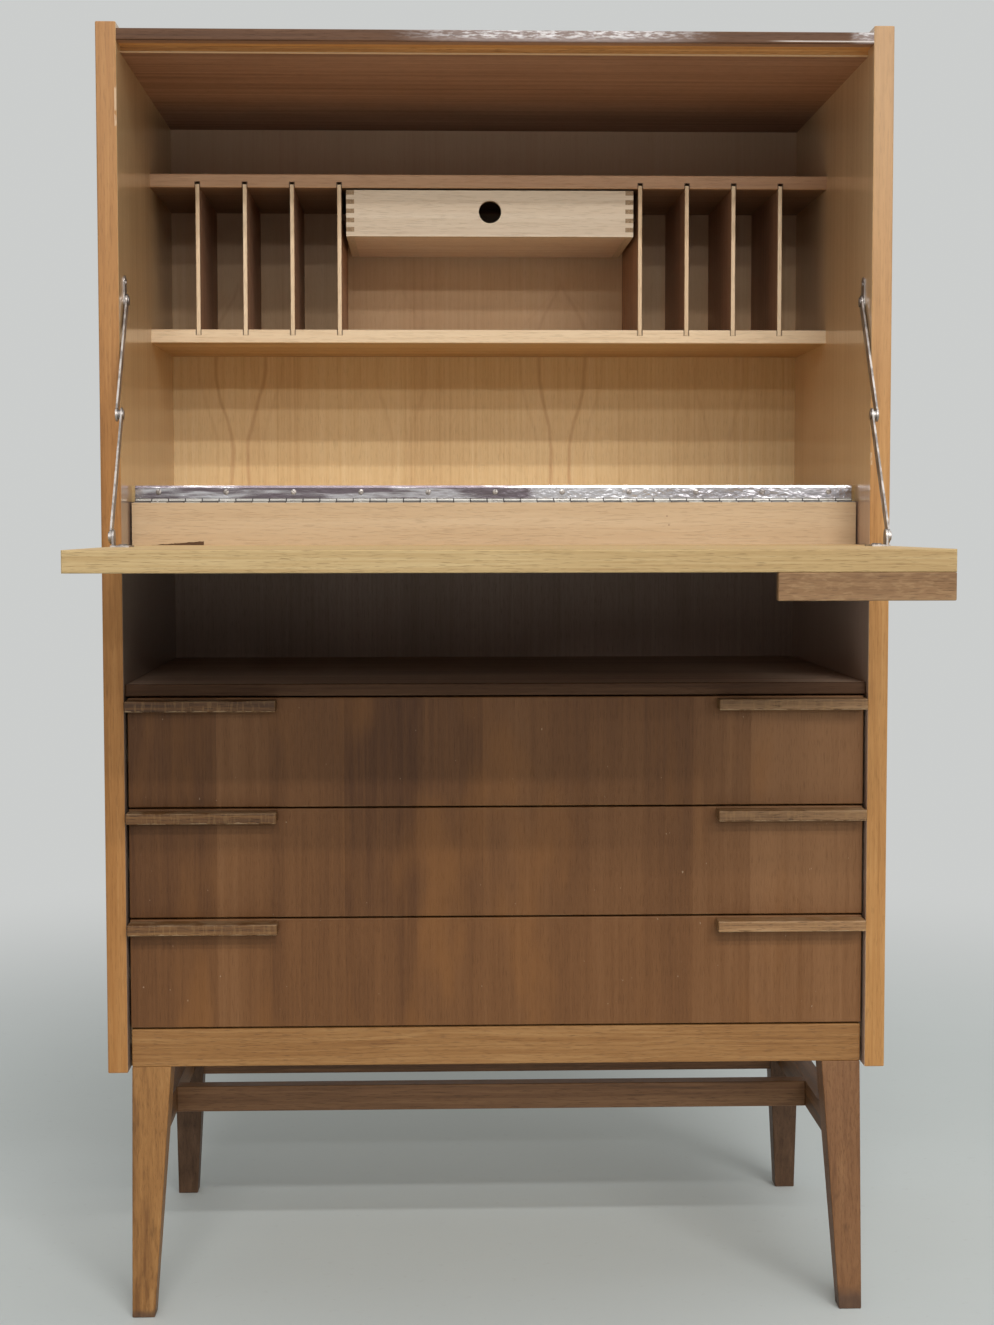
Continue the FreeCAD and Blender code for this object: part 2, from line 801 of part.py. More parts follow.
def write_flap():
    """Flap, hinge and stays."""
    save("flap_panel", flap_panel())
    save("flap_lipping", flap_lipping_strip())
    save("flap_riser", flap_riser())
    save("flap_pull", flap_pull())
    save("hinge_upper_leaf", hinge_upper_leaf())
    save("hinge_lower_leaf", hinge_lower_leaf())
    save("hinge_pin", hinge_pin())
    save("flap_screws", *flap_screws())
    for side, name in SIDES:
        save(name + "_stay_plate", stay_plate(side))
        save(name + "_stay_bracket", stay_bracket(side))
        save(name + "_stay_upper_arm", stay_upper_arm(side))
        save(name + "_stay_lower_arm", stay_lower_arm(side))


os.makedirs("parts", exist_ok=True)
write_carcass()
write_base()
write_drawers()
write_flap()
print("width %.1f, height %.1f, depth with the flap open %.1f" % (width, side_top, depth - flap_front))
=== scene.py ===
# %% [markdown]
# # A fall-front escritoire
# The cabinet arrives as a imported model: sixty pieces, each already at its real size and place, in metres.
# Blender only dresses them. It gives every board its wood, every iron piece its metal, adds the few small
# pieces that a lathe or a file would make, and sets up the floor, the light and the camera.

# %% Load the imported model
import math

import bpy
import numpy as np
from mathutils import Matrix, Vector


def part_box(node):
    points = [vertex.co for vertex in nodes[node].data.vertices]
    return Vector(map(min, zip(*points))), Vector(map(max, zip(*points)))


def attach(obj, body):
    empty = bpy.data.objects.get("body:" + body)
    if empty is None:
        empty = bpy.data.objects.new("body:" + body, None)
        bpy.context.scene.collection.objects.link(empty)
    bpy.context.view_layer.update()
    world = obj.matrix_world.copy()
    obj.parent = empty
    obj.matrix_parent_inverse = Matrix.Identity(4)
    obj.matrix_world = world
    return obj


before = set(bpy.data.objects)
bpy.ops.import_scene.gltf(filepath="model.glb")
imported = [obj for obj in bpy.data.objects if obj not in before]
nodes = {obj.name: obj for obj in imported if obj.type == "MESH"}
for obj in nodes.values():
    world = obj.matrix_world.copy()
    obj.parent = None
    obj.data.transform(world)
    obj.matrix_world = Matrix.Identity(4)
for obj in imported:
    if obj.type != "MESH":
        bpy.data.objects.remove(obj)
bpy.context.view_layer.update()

# %% [markdown]
# ## Places that the finishes need
# A veneer ends where its board ends, so the finishes ask the model where the boards are. Reading the
# places from the pieces keeps the finish right if a board changes size. All of them are in metres. A
# piece can hold several separate solids, such as four dividers or a row of screws; those are the islands
# of its mesh.

# %% Read places from the pieces
LOW, HIGH = 0, 1
X, Y, Z = 0, 1, 2
LEVEL_WITHIN = 1e-5
SPOT_DIGITS = 6


def place(node, end, axis):
    """One coordinate of a piece's box: its lowest or highest value on an axis."""
    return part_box(node)[end][axis]


def mesh_points(name):
    """The points of a piece's mesh as rows of x, y, z."""
    data = nodes[name].data
    points = np.empty(len(data.vertices) * 3)
    data.vertices.foreach_get("co", points)
    return points.reshape(-1, 3)


def lowest_where(name, axis, flat):
    """Lowest coordinate on one axis among the points that lie lowest on another."""
    points = mesh_points(name)
    return float(points[points[:, flat] < points[:, flat].min() + LEVEL_WITHIN][:, axis].min())


def islands(name):
    """Boxes of the separate solids of a piece.

    The mesh is loose faces, so points that lie together are first made one spot. Then every spot takes the
    lowest number among its neighbours, until none changes."""
    data = nodes[name].data
    ends = np.empty(len(data.edges) * 2, int)
    data.edges.foreach_get("vertices", ends)
    points, spot = np.unique(mesh_points(name).round(SPOT_DIGITS), axis=0, return_inverse=True)
    ends = spot.reshape(-1)[ends.reshape(-1, 2)]
    label = np.arange(len(points))
    while True:
        low = np.minimum(label[ends[:, 0]], label[ends[:, 1]])
        new = label.copy()
        np.minimum.at(new, ends[:, 0], low)
        np.minimum.at(new, ends[:, 1], low)
        if (new == label).all():
            break
        label = new
    groups = [points[label == value] for value in np.unique(label)]
    return [(group.min(0), group.max(0)) for group in groups]


outer_half = place("right_side_panel", HIGH, X)
inner_half = place("right_side_panel", LOW, X)
front_edge = place("right_side_panel", LOW, Y)
desk_top = place("desk_floor", HIGH, Z)
desk_low = place("desk_floor", LOW, Z)
print("inside width", round(2 * inner_half, 3), "desk height", round(desk_top, 3))

# %% [markdown]
# ## Shader sums written as Python
# A wood shader is mostly arithmetic: stretch a noise, add another, cut it off at a level. Drawing that as
# nodes by hand is slow to read. Here one small class wraps a socket, so that `1 - mask` or `a * 0.3 + b`
# adds the Math nodes by itself, and one method adds every other kind of node.

# %% A socket that can be used in sums
def both_ways(operation):
    """Two methods for one Math node: the value itself comes first, or the other value does."""
    return (lambda self, other: self.math(operation, self, other),
            lambda self, other: self.math(operation, other, self))


class Sum:
    """A value on its way through a shader. Each operator adds one Math node."""

    def __init__(self, finish, socket):
        self.finish = finish
        self.socket = socket

    def math(self, operation, *values):
        """A Math node on the given values, in order."""
        return self.finish.add("ShaderNodeMath", {"operation": operation}, dict(enumerate(values)))

    __add__, __radd__ = both_ways("ADD")
    __sub__, __rsub__ = both_ways("SUBTRACT")
    __mul__, __rmul__ = both_ways("MULTIPLY")
    __truediv__, __rtruediv__ = both_ways("DIVIDE")
    __gt__, __lt__ = both_ways("GREATER_THAN")

    def __abs__(self):
        return self.math("ABSOLUTE", self)

    def root(self):
        """Square root."""
        return self.math("SQRT", self)

    def part(self):
        """What is left after the whole number is taken off."""
        return self.math("FRACT", self)

    def least(self, other):
        """The smaller of two values."""
        return self.math("MINIMUM", self, other)

    def most(self, other):
        """The larger of two values."""
        return self.math("MAXIMUM", self, other)

    def step(self, start, end):
        """A soft step: 0 up to start, 1 from end on, an S-curve between them."""
        return self.finish.add("ShaderNodeMapRange", {"interpolation_type": "SMOOTHSTEP"},
                               {0: self, 1: start, 2: end, 3: 0.0, 4: 1.0})


print("sums ready")

# %% [markdown]
# ## One material, built up in steps
# A finish starts from the Principled shader and the Object coordinates. The pieces sit at the origin, so
# those coordinates are the cabinet's own metres, and a pattern stays on its board when a drawer slides or
# the flap turns.

# %% A material in the making
CLOUD_ROUGHNESS = 0.6


class Finish:
    """A node material: add() makes a node, and dress() feeds the shader."""

    def __init__(self, name):
        self.material = bpy.data.materials.new(name)
        self.material.use_nodes = True
        self.tree = self.material.node_tree
        self.shader = self.tree.nodes["Principled BSDF"]
        self.at = self.add("ShaderNodeTexCoord", {}, {}, "Object")
        split = self.add("ShaderNodeSeparateXYZ", {}, {0: self.at})
        self.x, self.y, self.z = (Sum(self, out) for out in split.socket.node.outputs)

    def add(self, kind, settings, sockets, output=0):
        """A node of one kind: its settings first, then values or links for its sockets."""
        node = self.tree.nodes.new(kind)
        for key, value in settings.items():
            if key == "stops":
                self.set_stops(node.color_ramp, value)
            else:
                setattr(node, key, value)
        for key, value in sockets.items():
            self.feed(node.inputs[key], value)
        return Sum(self, node.outputs[output])

    def set_stops(self, ramp, stops):
        """Stops of a colour ramp, each a place and a grey tone, held until the next one."""
        ramp.interpolation = "CONSTANT"
        while len(ramp.elements) < len(stops):
            ramp.elements.new(1.0)
        for element, (where, tone) in zip(ramp.elements, stops):
            element.position = where
            element.color = (tone, tone, tone, 1.0)

    def feed(self, socket, value):
        """A link from another node, or a plain value, into a socket."""
        if isinstance(value, Sum):
            self.tree.links.new(value.socket, socket)
        elif isinstance(value, tuple) and len(value) == 3 and socket.type == "RGBA":
            socket.default_value = (*value, 1.0)
        else:
            socket.default_value = value

    def blend(self, share, first, second):
        """Colour between two colours: the first at share 0, the second at share 1."""
        return self.add("ShaderNodeMix", {"data_type": "RGBA"}, {0: share, 6: first, 7: second}, 2)

    def shade(self, colour, amount):
        """A colour made darker or lighter by a factor."""
        return self.add("ShaderNodeVectorMath", {"operation": "SCALE"}, {0: colour, "Scale": amount})

    def noise(self, size, shift=0.0, detail=2.0, at=None):
        """Cloudy value round one half: the place over a cloud's size on each axis, then moved."""
        scale = tuple(1.0 / s for s in size)
        move = (shift, -shift, 2 * shift)
        spot = self.add("ShaderNodeMapping", {}, {0: at or self.at, 1: move, 3: scale})
        return self.add("ShaderNodeTexNoise", {}, {"Vector": spot, "Scale": 1.0, "Detail": detail,
                                                   "Roughness": CLOUD_ROUGHNESS})

    def dress(self, colour, roughness, height, depth, mirror=0.3, **plain):
        """Colour, roughness and bump to the shader, and plain values to its other sockets.

        Mirror is how much the surface reflects."""
        self.shader.inputs["Specular IOR Level"].default_value = mirror
        bump = self.add("ShaderNodeBump", {}, {"Height": height, "Distance": depth, "Strength": 1.0})
        for name, value in (("Base Color", colour), ("Roughness", roughness), ("Normal", bump)):
            self.feed(self.shader.inputs[name], value)
        for name, value in plain.items():
            self.feed(self.shader.inputs[name.replace("_", " ")], value)
        return self.material


print("finish ready")

# %% [markdown]
# ## Wood
# A board shows its fibres as long streaks, its growth rings as slow bands, and its pores as short dark
# needles. All three are the same noise, stretched much more along the grain than across it. A photograph
# of a plank would also do, but it repeats, and it can't turn a corner with the board as this does.

# %% The grain of one board
GRAIN_AXES = {"x": X, "y": Y, "z": Z}
SWAY_SIZE = (0.3, 0.045)
RING_LENGTH = 1.2
STREAK_SIZE = (0.09, 0.0022)
DRIFT_SIZE = (0.8, 0.11)
PORE_LENGTH = 0.014
PORE_LEVELS = (0.57, 0.70)
DARK_TO_MIDDLE = (0.12, 0.55)
MIDDLE_TO_LIGHT = (0.45, 0.92)
PORE_SHADE = 0.55
OPEN_GRAIN, VENEER_GRAIN, POLISHED_GRAIN, LACQUERED_GRAIN = 0.00012, 0.00010, 0.00008, 0.00006


def stretched(axis, along, across):
    """Sizes on the three axes: one value along an axis, another across it."""
    return tuple(along if i == axis else across for i in range(3))


def scaled(colour, amount):
    """A colour times an amount, at most white."""
    return tuple(min(1.0, amount * c) for c in colour)


class Grain:
    """Pattern of a board: tone from dark to light, pores, and the height of its surface."""

    def __init__(self, finish, axis, ring=0.008, waver=0.006, seed=0.0, needle=0.0007):
        self.finish = finish
        self.axis = GRAIN_AXES[axis]
        f = finish
        push = f.noise(self.stretch(*SWAY_SIZE), seed + 3.1) - 0.5
        sway = self.stretch(0.0, waver)
        moved = f.add("ShaderNodeVectorMath", {"operation": "MULTIPLY_ADD"}, {0: push, 1: sway, 2: f.at})
        self.rings = f.noise(self.stretch(RING_LENGTH, ring), seed + 7.7, 2.0, moved)
        self.streaks = f.noise(self.stretch(*STREAK_SIZE), seed + 11.3, 3.0, moved)
        self.drift = f.noise(self.stretch(*DRIFT_SIZE), seed + 17.9, 1.0)
        self.pores = f.noise(self.stretch(PORE_LENGTH, needle), seed + 23.3, 1.0).step(*PORE_LEVELS)

    def stretch(self, along, across):
        """Sizes on the three axes: long with the grain, short across it."""
        return stretched(self.axis, along, across)

    def tone(self, ring=1.0, streak=0.8, drift=0.8):
        """One half, plus each noise's swing times its weight."""
        swing = (self.rings - 0.5) * ring + (self.streaks - 0.5) * streak + (self.drift - 0.5) * drift
        return swing + 0.5

    def sheen(self, swing, middle):
        """Roughness: a middle value, plus the streaks' swing."""
        return (self.streaks - 0.5) * swing + middle

    def height(self):
        """Raised streaks with sunk pores."""
        return self.streaks * 0.5 - self.pores

    def stain(self, palette, tone=None, pores=0.45):
        """Colour: dark to middle to light along the tone, with the pores in a deeper dark."""
        f = self.finish
        dark, middle, light = palette
        tone = tone or self.tone()
        low = f.blend(tone.step(*DARK_TO_MIDDLE), dark, middle)
        wood = f.blend(tone.step(*MIDDLE_TO_LIGHT), low, light)
        return f.blend(self.pores * pores, wood, scaled(dark, PORE_SHADE))


print("grain ready")

# %% [markdown]
# ## The woods of this cabinet
# Each wood is three colours, for its dark, middle and light parts, in linear light. Golden lippings and
# apron, dark teak on the drawers, pale veneer inside, pale beech edges, and a plain wood where nobody
# looks. Some palettes are darker or paler copies of a wood that carry painted shade or painted light. Under
# the woods are the single tints that wear and varnish add to them, the dark of the legs' feet, and the
# painted shade and painted highlights.

# %% Colours of the woods
GOLDEN_LEFT = ((0.240, 0.098, 0.024), (0.355, 0.156, 0.043), (0.445, 0.222, 0.074))
GOLDEN = ((0.290, 0.126, 0.033), (0.420, 0.199, 0.060), (0.520, 0.281, 0.101))
TEAK_VENEER = ((0.216, 0.092, 0.030), (0.356, 0.164, 0.058), (0.475, 0.243, 0.095))
DARK_TEAK = ((0.065, 0.024, 0.008), (0.153, 0.064, 0.021), (0.237, 0.112, 0.045))
TOP_UNDERSIDE = ((0.220, 0.112, 0.064), (0.365, 0.200, 0.124), (0.485, 0.288, 0.184))
# The rebate's golden step, made lighter than the wood with painted light.
REBATE_GOLD_AND_PAINTED_LIGHT = ((0.390, 0.178, 0.056), (0.590, 0.300, 0.104), (0.700, 0.400, 0.158))
NICHE_TEAK = ((0.250, 0.160, 0.108), (0.405, 0.280, 0.200), (0.510, 0.365, 0.275))
NICHE_BACK = ((0.390, 0.275, 0.205), (0.450, 0.320, 0.245), (0.510, 0.370, 0.290))
INNER_VENEER = ((0.430, 0.262, 0.128), (0.570, 0.378, 0.195), (0.660, 0.465, 0.255))
# A paler, cooler copy of the inner veneer for the right panel: painted light.
INNER_VENEER_PAINTED_LIT = ((0.540, 0.345, 0.192), (0.695, 0.482, 0.282), (0.785, 0.580, 0.362))
# A darker copy of the dividers' wood for their faces: painted shade.
SHADED_DIVIDER_FACE = ((0.290, 0.155, 0.092), (0.410, 0.228, 0.138), (0.500, 0.292, 0.182))
# A darker copy of the shelf veneer for the upper shelf's underside: painted shade.
SHADED_SHELF_UNDERSIDE = ((0.170, 0.092, 0.052), (0.250, 0.145, 0.085), (0.320, 0.195, 0.120))
BACK_VENEER = ((0.570, 0.350, 0.155), (0.710, 0.500, 0.250), (0.790, 0.600, 0.340))
PALE_BEECH = ((0.600, 0.420, 0.250), (0.710, 0.535, 0.345), (0.780, 0.620, 0.425))
# A darker, redder copy of the pale beech for the upper shelf's front edge: painted shade.
SHADED_SHELF_EDGE_BEECH = ((0.350, 0.188, 0.098), (0.440, 0.255, 0.140), (0.520, 0.325, 0.190))
RISER_BEECH = ((0.414, 0.275, 0.153), (0.495, 0.349, 0.205), (0.558, 0.414, 0.261))
PALE_OAK = ((0.308, 0.180, 0.066), (0.422, 0.280, 0.121), (0.515, 0.370, 0.183))
GREY_OAK = ((0.108, 0.048, 0.017), (0.218, 0.113, 0.047), (0.305, 0.178, 0.085))
PULL_TEAK = ((0.085, 0.038, 0.013), (0.204, 0.106, 0.043), (0.309, 0.180, 0.085))
PULL_BROWN = ((0.062, 0.024, 0.007), (0.148, 0.065, 0.020), (0.228, 0.112, 0.038))
APRON_OAK = ((0.167, 0.067, 0.017), (0.261, 0.118, 0.033), (0.351, 0.182, 0.063))
LEG_TEAK = ((0.160, 0.065, 0.016), (0.296, 0.135, 0.037), (0.387, 0.195, 0.064))
BROWN_TEAK = ((0.103, 0.041, 0.013), (0.195, 0.085, 0.031), (0.263, 0.128, 0.051))
REAR_TEAK = ((0.046, 0.022, 0.010), (0.090, 0.045, 0.022), (0.132, 0.070, 0.037))
RAIL_TEAK = ((0.090, 0.041, 0.016), (0.176, 0.084, 0.035), (0.248, 0.128, 0.058))
MAPLE = ((0.615, 0.480, 0.342), (0.678, 0.551, 0.412), (0.730, 0.610, 0.470))
UNDER_MAPLE = ((0.640, 0.465, 0.340), (0.760, 0.585, 0.455), (0.840, 0.690, 0.560))
BOX_WOOD = ((0.440, 0.285, 0.145), (0.550, 0.385, 0.215), (0.650, 0.490, 0.305))
DUST_STAIN = ((0.038, 0.016, 0.006), (0.072, 0.033, 0.015), (0.112, 0.056, 0.028))
EDGE_STAIN = ((0.054, 0.023, 0.010), (0.104, 0.047, 0.022), (0.163, 0.084, 0.046))

# Darker colour of the front legs' feet.
LEG_FOOT_DARK = (0.062, 0.034, 0.022)
ORANGE_GLOW = (0.245, 0.100, 0.026)
PALE_SPECK = (0.42, 0.30, 0.20)
PULL_RUBBED, PULL_ARRIS = (0.40, 0.27, 0.15), (0.42, 0.29, 0.17)
PULL_FLECK = (0.30, 0.170, 0.065)
# Pale painted sheen for the lippings' upper part; pale colour of chipped lacquer.
PAINTED_SHEEN_PALE, CHIPPED_EDGE = (0.580, 0.450, 0.310), (0.700, 0.560, 0.400)
ARCH_LINE = (0.400, 0.170, 0.062)
# Painted shade for the back panel: redder behind the gallery, darker and greyer in the top bay.
GALLERY_PAINTED_SHADE, BAY_PAINTED_SHADE = (0.700, 0.400, 0.260), (0.465, 0.300, 0.230)
HOUSING_DARK = (0.090, 0.050, 0.025)
# Painted highlight on the rebate's arris.
PAINTED_REBATE_HIGHLIGHT = (0.580, 0.380, 0.215)
# Painted sheen: a grey veil over the varnish run.
PAINTED_SHEEN_VEIL = (0.420, 0.350, 0.335)
# Painted highlights of the varnish run: on its ripples, and along its lower arris.
PAINTED_RIPPLE_HIGHLIGHT, PAINTED_ARRIS_HIGHLIGHT = (0.800, 0.770, 0.770), (0.760, 0.690, 0.620)
END_DARK, END_PALE = (0.245, 0.155, 0.080), (0.390, 0.265, 0.150)
# Dark colour of the wedge along the riser's foot, and of the dents.
FOOT_WEDGE_DARK, DENT_DARK = (0.085, 0.042, 0.018), (0.200, 0.110, 0.055)
RAY_FLECK, RAY_WORN = (0.370, 0.225, 0.108), (0.400, 0.245, 0.120)
print("woods and tints mixed")

# %% [markdown]
# ## Worn edges
# Hands rub the lacquer off the arrises first, so an edge is a little paler and duller than the face. A
# board's distance to its nearest edge follows from its box: of the three distances to its faces, the
# second smallest.

# %% How near a point is to an edge of its board
RAGGED_SWING, RAGGED_MIDDLE = 1.6, 0.5


def edge_wear(f, node, reach):
    """1 at the board's edges, 0 beyond reach: second smallest distance to the faces, roughened by noise."""
    low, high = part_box(node)
    near = []
    for value, a, b in zip((f.x, f.y, f.z), low, high):
        near.append((value - a).least(b - value))
    dx, dy, dz = near
    least = dx.least(dy).least(dz)
    most = dx.most(dy).most(dz)
    second = dx + dy + dz - least - most
    ragged = f.noise((0.02, 0.02, 0.02), 5.0, 4.0) * reach * RAGGED_SWING
    return 1 - (second + ragged - reach * RAGGED_MIDDLE).step(0.0, reach)


print("edge wear ready")

# %% [markdown]
# ## A plain board
# Most pieces are one wood with one direction of grain: rails, rear legs, drawer boxes. They share this
# finish and differ in palette, grain, gloss and seed. The front legs also show where shoes met them.

# %% Finish of a plain board
BOARD_WEAR = 0.0022
RUBBED_HEIGHT = 0.09


def plain_board(name, palette, axis, seed, node=None, gloss=0.5, pores=0.45, **sizes):
    """Lacquered wood; with a node, its edges are worn paler and duller."""
    f = Finish(name)
    grain = Grain(f, axis, seed=seed, **sizes)
    colour = grain.stain(palette, pores=pores)
    rough = grain.sheen(0.25, gloss)
    if node:
        wear = edge_wear(f, node, BOARD_WEAR)
        colour = f.blend(wear * 0.45, colour, scaled(palette[2], 1.25))
        rough = rough + wear * 0.2
    return f.dress(colour, rough, grain.height(), OPEN_GRAIN)


def paint(material, *names):
    """Put a material on the slots of the named pieces."""
    for name in names:
        data = nodes[name].data
        data.materials.clear()
        data.materials.append(material)


def worn_leg(name, palette, seed, foot_dark_height):
    """Quiet upright teak with dark smudges where shoes met it.

    The foot is rubbed pale, and its end is darker up to the given height."""
    f = Finish(name)
    grain = Grain(f, "z", ring=0.006, seed=seed)
    colour = grain.stain(palette, grain.tone(0.8, 0.5, 0.8), 0.3)
    smudge = f.noise((0.014, 0.014, 0.045), seed + 2, 3.0).step(0.58, 0.72)
    colour = f.blend(smudge * 0.55, colour, scaled(palette[0], 0.6))
    rubbed = f.noise((0.006, 0.006, 0.020), seed + 4, 3.0).step(0.48, 0.66)
    rubbed = (1 - f.z.step(0.0, RUBBED_HEIGHT)) * rubbed
    colour = f.blend(rubbed * 0.6, colour, palette[2])
    # Darker towards the foot, up to the given height.
    darker_foot = 1 - (f.z + f.noise((0.006, 0.006, 0.006), seed + 6) * 0.008).step(0.4 * foot_dark_height, foot_dark_height)
    colour = f.blend(darker_foot * 0.75, colour, LEG_FOOT_DARK)
    return f.dress(colour, grain.sheen(0.25, 0.5), grain.height(), OPEN_GRAIN)


paint(plain_board("apron_oak", APRON_OAK, "x", 1.0, "apron", ring=0.0055, waver=0.016), "apron")
for side, seed, palette, foot_dark_height in (("left", 2.0, LEG_TEAK, 0.014), ("right", 3.0, BROWN_TEAK, 0.030)):
    paint(worn_leg("front_leg_teak_" + side, palette, seed, foot_dark_height), f"front_{side}_leg")
    paint(plain_board("rear_leg_teak_" + side, REAR_TEAK, "z", seed + 2, ring=0.006), f"rear_{side}_leg")
    rail = plain_board("side_rail_teak_" + side, RAIL_TEAK, "y", seed + 4, ring=0.006)
    paint(rail, f"{side}_side_stretcher")
paint(plain_board("long_rail_teak", RAIL_TEAK, "x", 8.0, ring=0.006), "long_stretcher", "rear_stretcher")
print("base dressed")

# %% [markdown]
# ## Drawer fronts and the outside of the flap
# The fronts were veneered from one set of leaves, laid side by side across the width, so the same upright
# stripes run through all three drawers. Each leaf has its own tone, and the tones rise towards the right,
# partly as painted light from that side. A colour ramp with held stops gives the leaves, and one upright
# grain runs over all of them.

# %% Veneer leaves across the fronts
LEAF_EDGES_MM = (-276, -225, -151, -72, -15, 44, 119, 190, 247)
# Leaf tones, rising to the right partly as painted light from that side.
LEAF_TONES_LIT_RIGHT = (0.31, 0.52, 0.43, 0.28, 0.36, 0.51, 0.50, 0.45, 0.58, 0.77)
MEAN_LEAF = 0.46
FRONT_WEAR = 0.0016
PULL_LIP, PULL_EDGE = 0.004, 0.0009
# Per drawer: a tone of painted shade from the flap, darker on the upper two drawers, then the leaves'
# contrast.
FRONT_SHADE_AND_CONTRAST = {"lower": (1.05, 0.50), "middle": (0.94, 0.80), "upper": (0.93, 0.95)}
PULL_TONES = {"lower": (0.96, 1.34), "middle": (0.98, 1.05), "upper": (0.80, 1.0)}


def leaf_tone(f):
    """Tone of the leaf at a place: a stepped ramp over the width, its stops at the leaf edges; the tones rise
    to the right, partly as painted light.
    """
    width = 2 * inner_half
    stops = [(0.0, LEAF_TONES_LIT_RIGHT[0])]
    stops += [(edge / 1000 / width + 0.5, tone) for edge, tone in zip(LEAF_EDGES_MM, LEAF_TONES_LIT_RIGHT[1:])]
    return f.add("ShaderNodeValToRGB", {"stops": stops}, {0: f.x / width + 0.5})


def leaf_colour(f, grain, contrast=0.95):
    """Dark teak by leaf tone, streaks and slow clouds; some clouds glow orange, as polished teak does."""
    leaf = leaf_tone(f)
    cloud = f.noise(grain.stretch(0.45, 0.05), 41.0, 2.0)
    tone = grain.tone(ring=0.30, streak=0.25, drift=0.25)
    tone = tone + (leaf - MEAN_LEAF) * contrast + (cloud - 0.5) * 0.35
    colour = grain.stain(DARK_TEAK, tone, 0.22)
    glow = f.noise(grain.stretch(0.16, 0.05), 47.0, 2.0).step(0.50, 0.75)
    return f.blend(glow * 0.38, colour, ORANGE_GLOW)


def front_teak(name, node, seed, tone, contrast):
    """Teak leaves standing upright, scaled by a tone of painted shade from the flap, with rubbed edges and a
    few pale specks.
    """
    f = Finish(name)
    grain = Grain(f, "z", ring=0.010, waver=0.004, seed=seed, needle=0.0006)
    colour = f.shade(leaf_colour(f, grain, contrast), tone)
    speck = f.noise((0.004, 0.004, 0.006), 53.0, 1.0).step(0.79, 0.82)
    colour = f.blend(speck * 0.5, colour, PALE_SPECK)
    wear = edge_wear(f, node, FRONT_WEAR)
    colour = f.blend(wear * 0.35, colour, PULL_TEAK[2])
    rough = grain.sheen(0.2, 0.45) + wear * 0.15
    return f.dress(colour, rough, grain.height(), POLISHED_GRAIN, 0.2)


def pull_pair(name, node, seed, left, right):
    """Two pulls cut from different blanks, a browner one on the left, each scaled by a tone of its own."""
    f = Finish(name)
    grain = Grain(f, "x", ring=0.004, seed=seed)
    brown = f.shade(grain.stain(PULL_BROWN, pores=0.8), left)
    colour = f.blend(f.x > 0.0, brown, f.shade(grain.stain(PULL_TEAK, pores=0.8), right))
    low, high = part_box(node)
    ragged = (f.noise((0.012, 0.012, 0.012), seed + 1, 3.0) - 0.40) * 0.006
    rubbed = (f.z < ragged + low.z) * (f.y < low.y + PULL_LIP)
    colour = f.blend(rubbed * 0.55, colour, PULL_RUBBED)
    fleck = f.noise((0.0024, 0.0024, 0.012), seed + 5, 1.0).step(0.52, 0.68)
    colour = f.blend(fleck * 0.26, colour, PULL_FLECK)
    arris = (f.z > high.z - PULL_EDGE) * f.noise((0.03, 0.03, 0.03), seed + 6, 3.0).step(0.40, 0.60)
    colour = f.blend(arris * 0.35, colour, PULL_ARRIS)
    return f.dress(colour, grain.sheen(0.25, 0.5), grain.height(), OPEN_GRAIN)


DRAWERS = ("lower", "middle", "upper")
for seed, level in enumerate(DRAWERS):
    front = level + "_drawer_front"
    paint(front_teak("front_teak_" + level, front, 30.0, *FRONT_SHADE_AND_CONTRAST[level]), front)
    pulls = level + "_drawer_pulls"
    paint(pull_pair("pull_teak_" + level, pulls, 40.0 + seed, *PULL_TONES[level]), pulls)
    paint(plain_board("box_wood_" + level, BOX_WOOD, "y", 50.0 + seed, gloss=0.65), level + "_drawer_sides")
    paint(plain_board("box_cross_" + level, BOX_WOOD, "x", 60.0 + seed, gloss=0.65),
          level + "_drawer_back", level + "_drawer_bottom")
print("long drawers dressed")

# %% [markdown]
# ## Side panels
# A side panel is a board with three woods on it: a golden lipping round its edges, teak veneer outside,
# and the pale inner veneer towards the desk. One grain pattern serves them all; only the colours change
# from zone to zone. The inner face is lacquered to a gloss, so that seen along it, it mirrors the shelves
# and the hinge.

# %% Finish of a side panel
LIP_THICKNESS = 0.005
VENEER_THICKNESS = 0.002
FACE_DEPTH = 0.0004
# Heights over which the painted sheen comes in.
SHEEN_HEIGHTS = (0.75, 1.2)
PANEL_WEAR = 0.0020
SCUFF_DEPTH = 0.003
INNER_COAT, COAT_ROUGHNESS = 0.7, 0.13


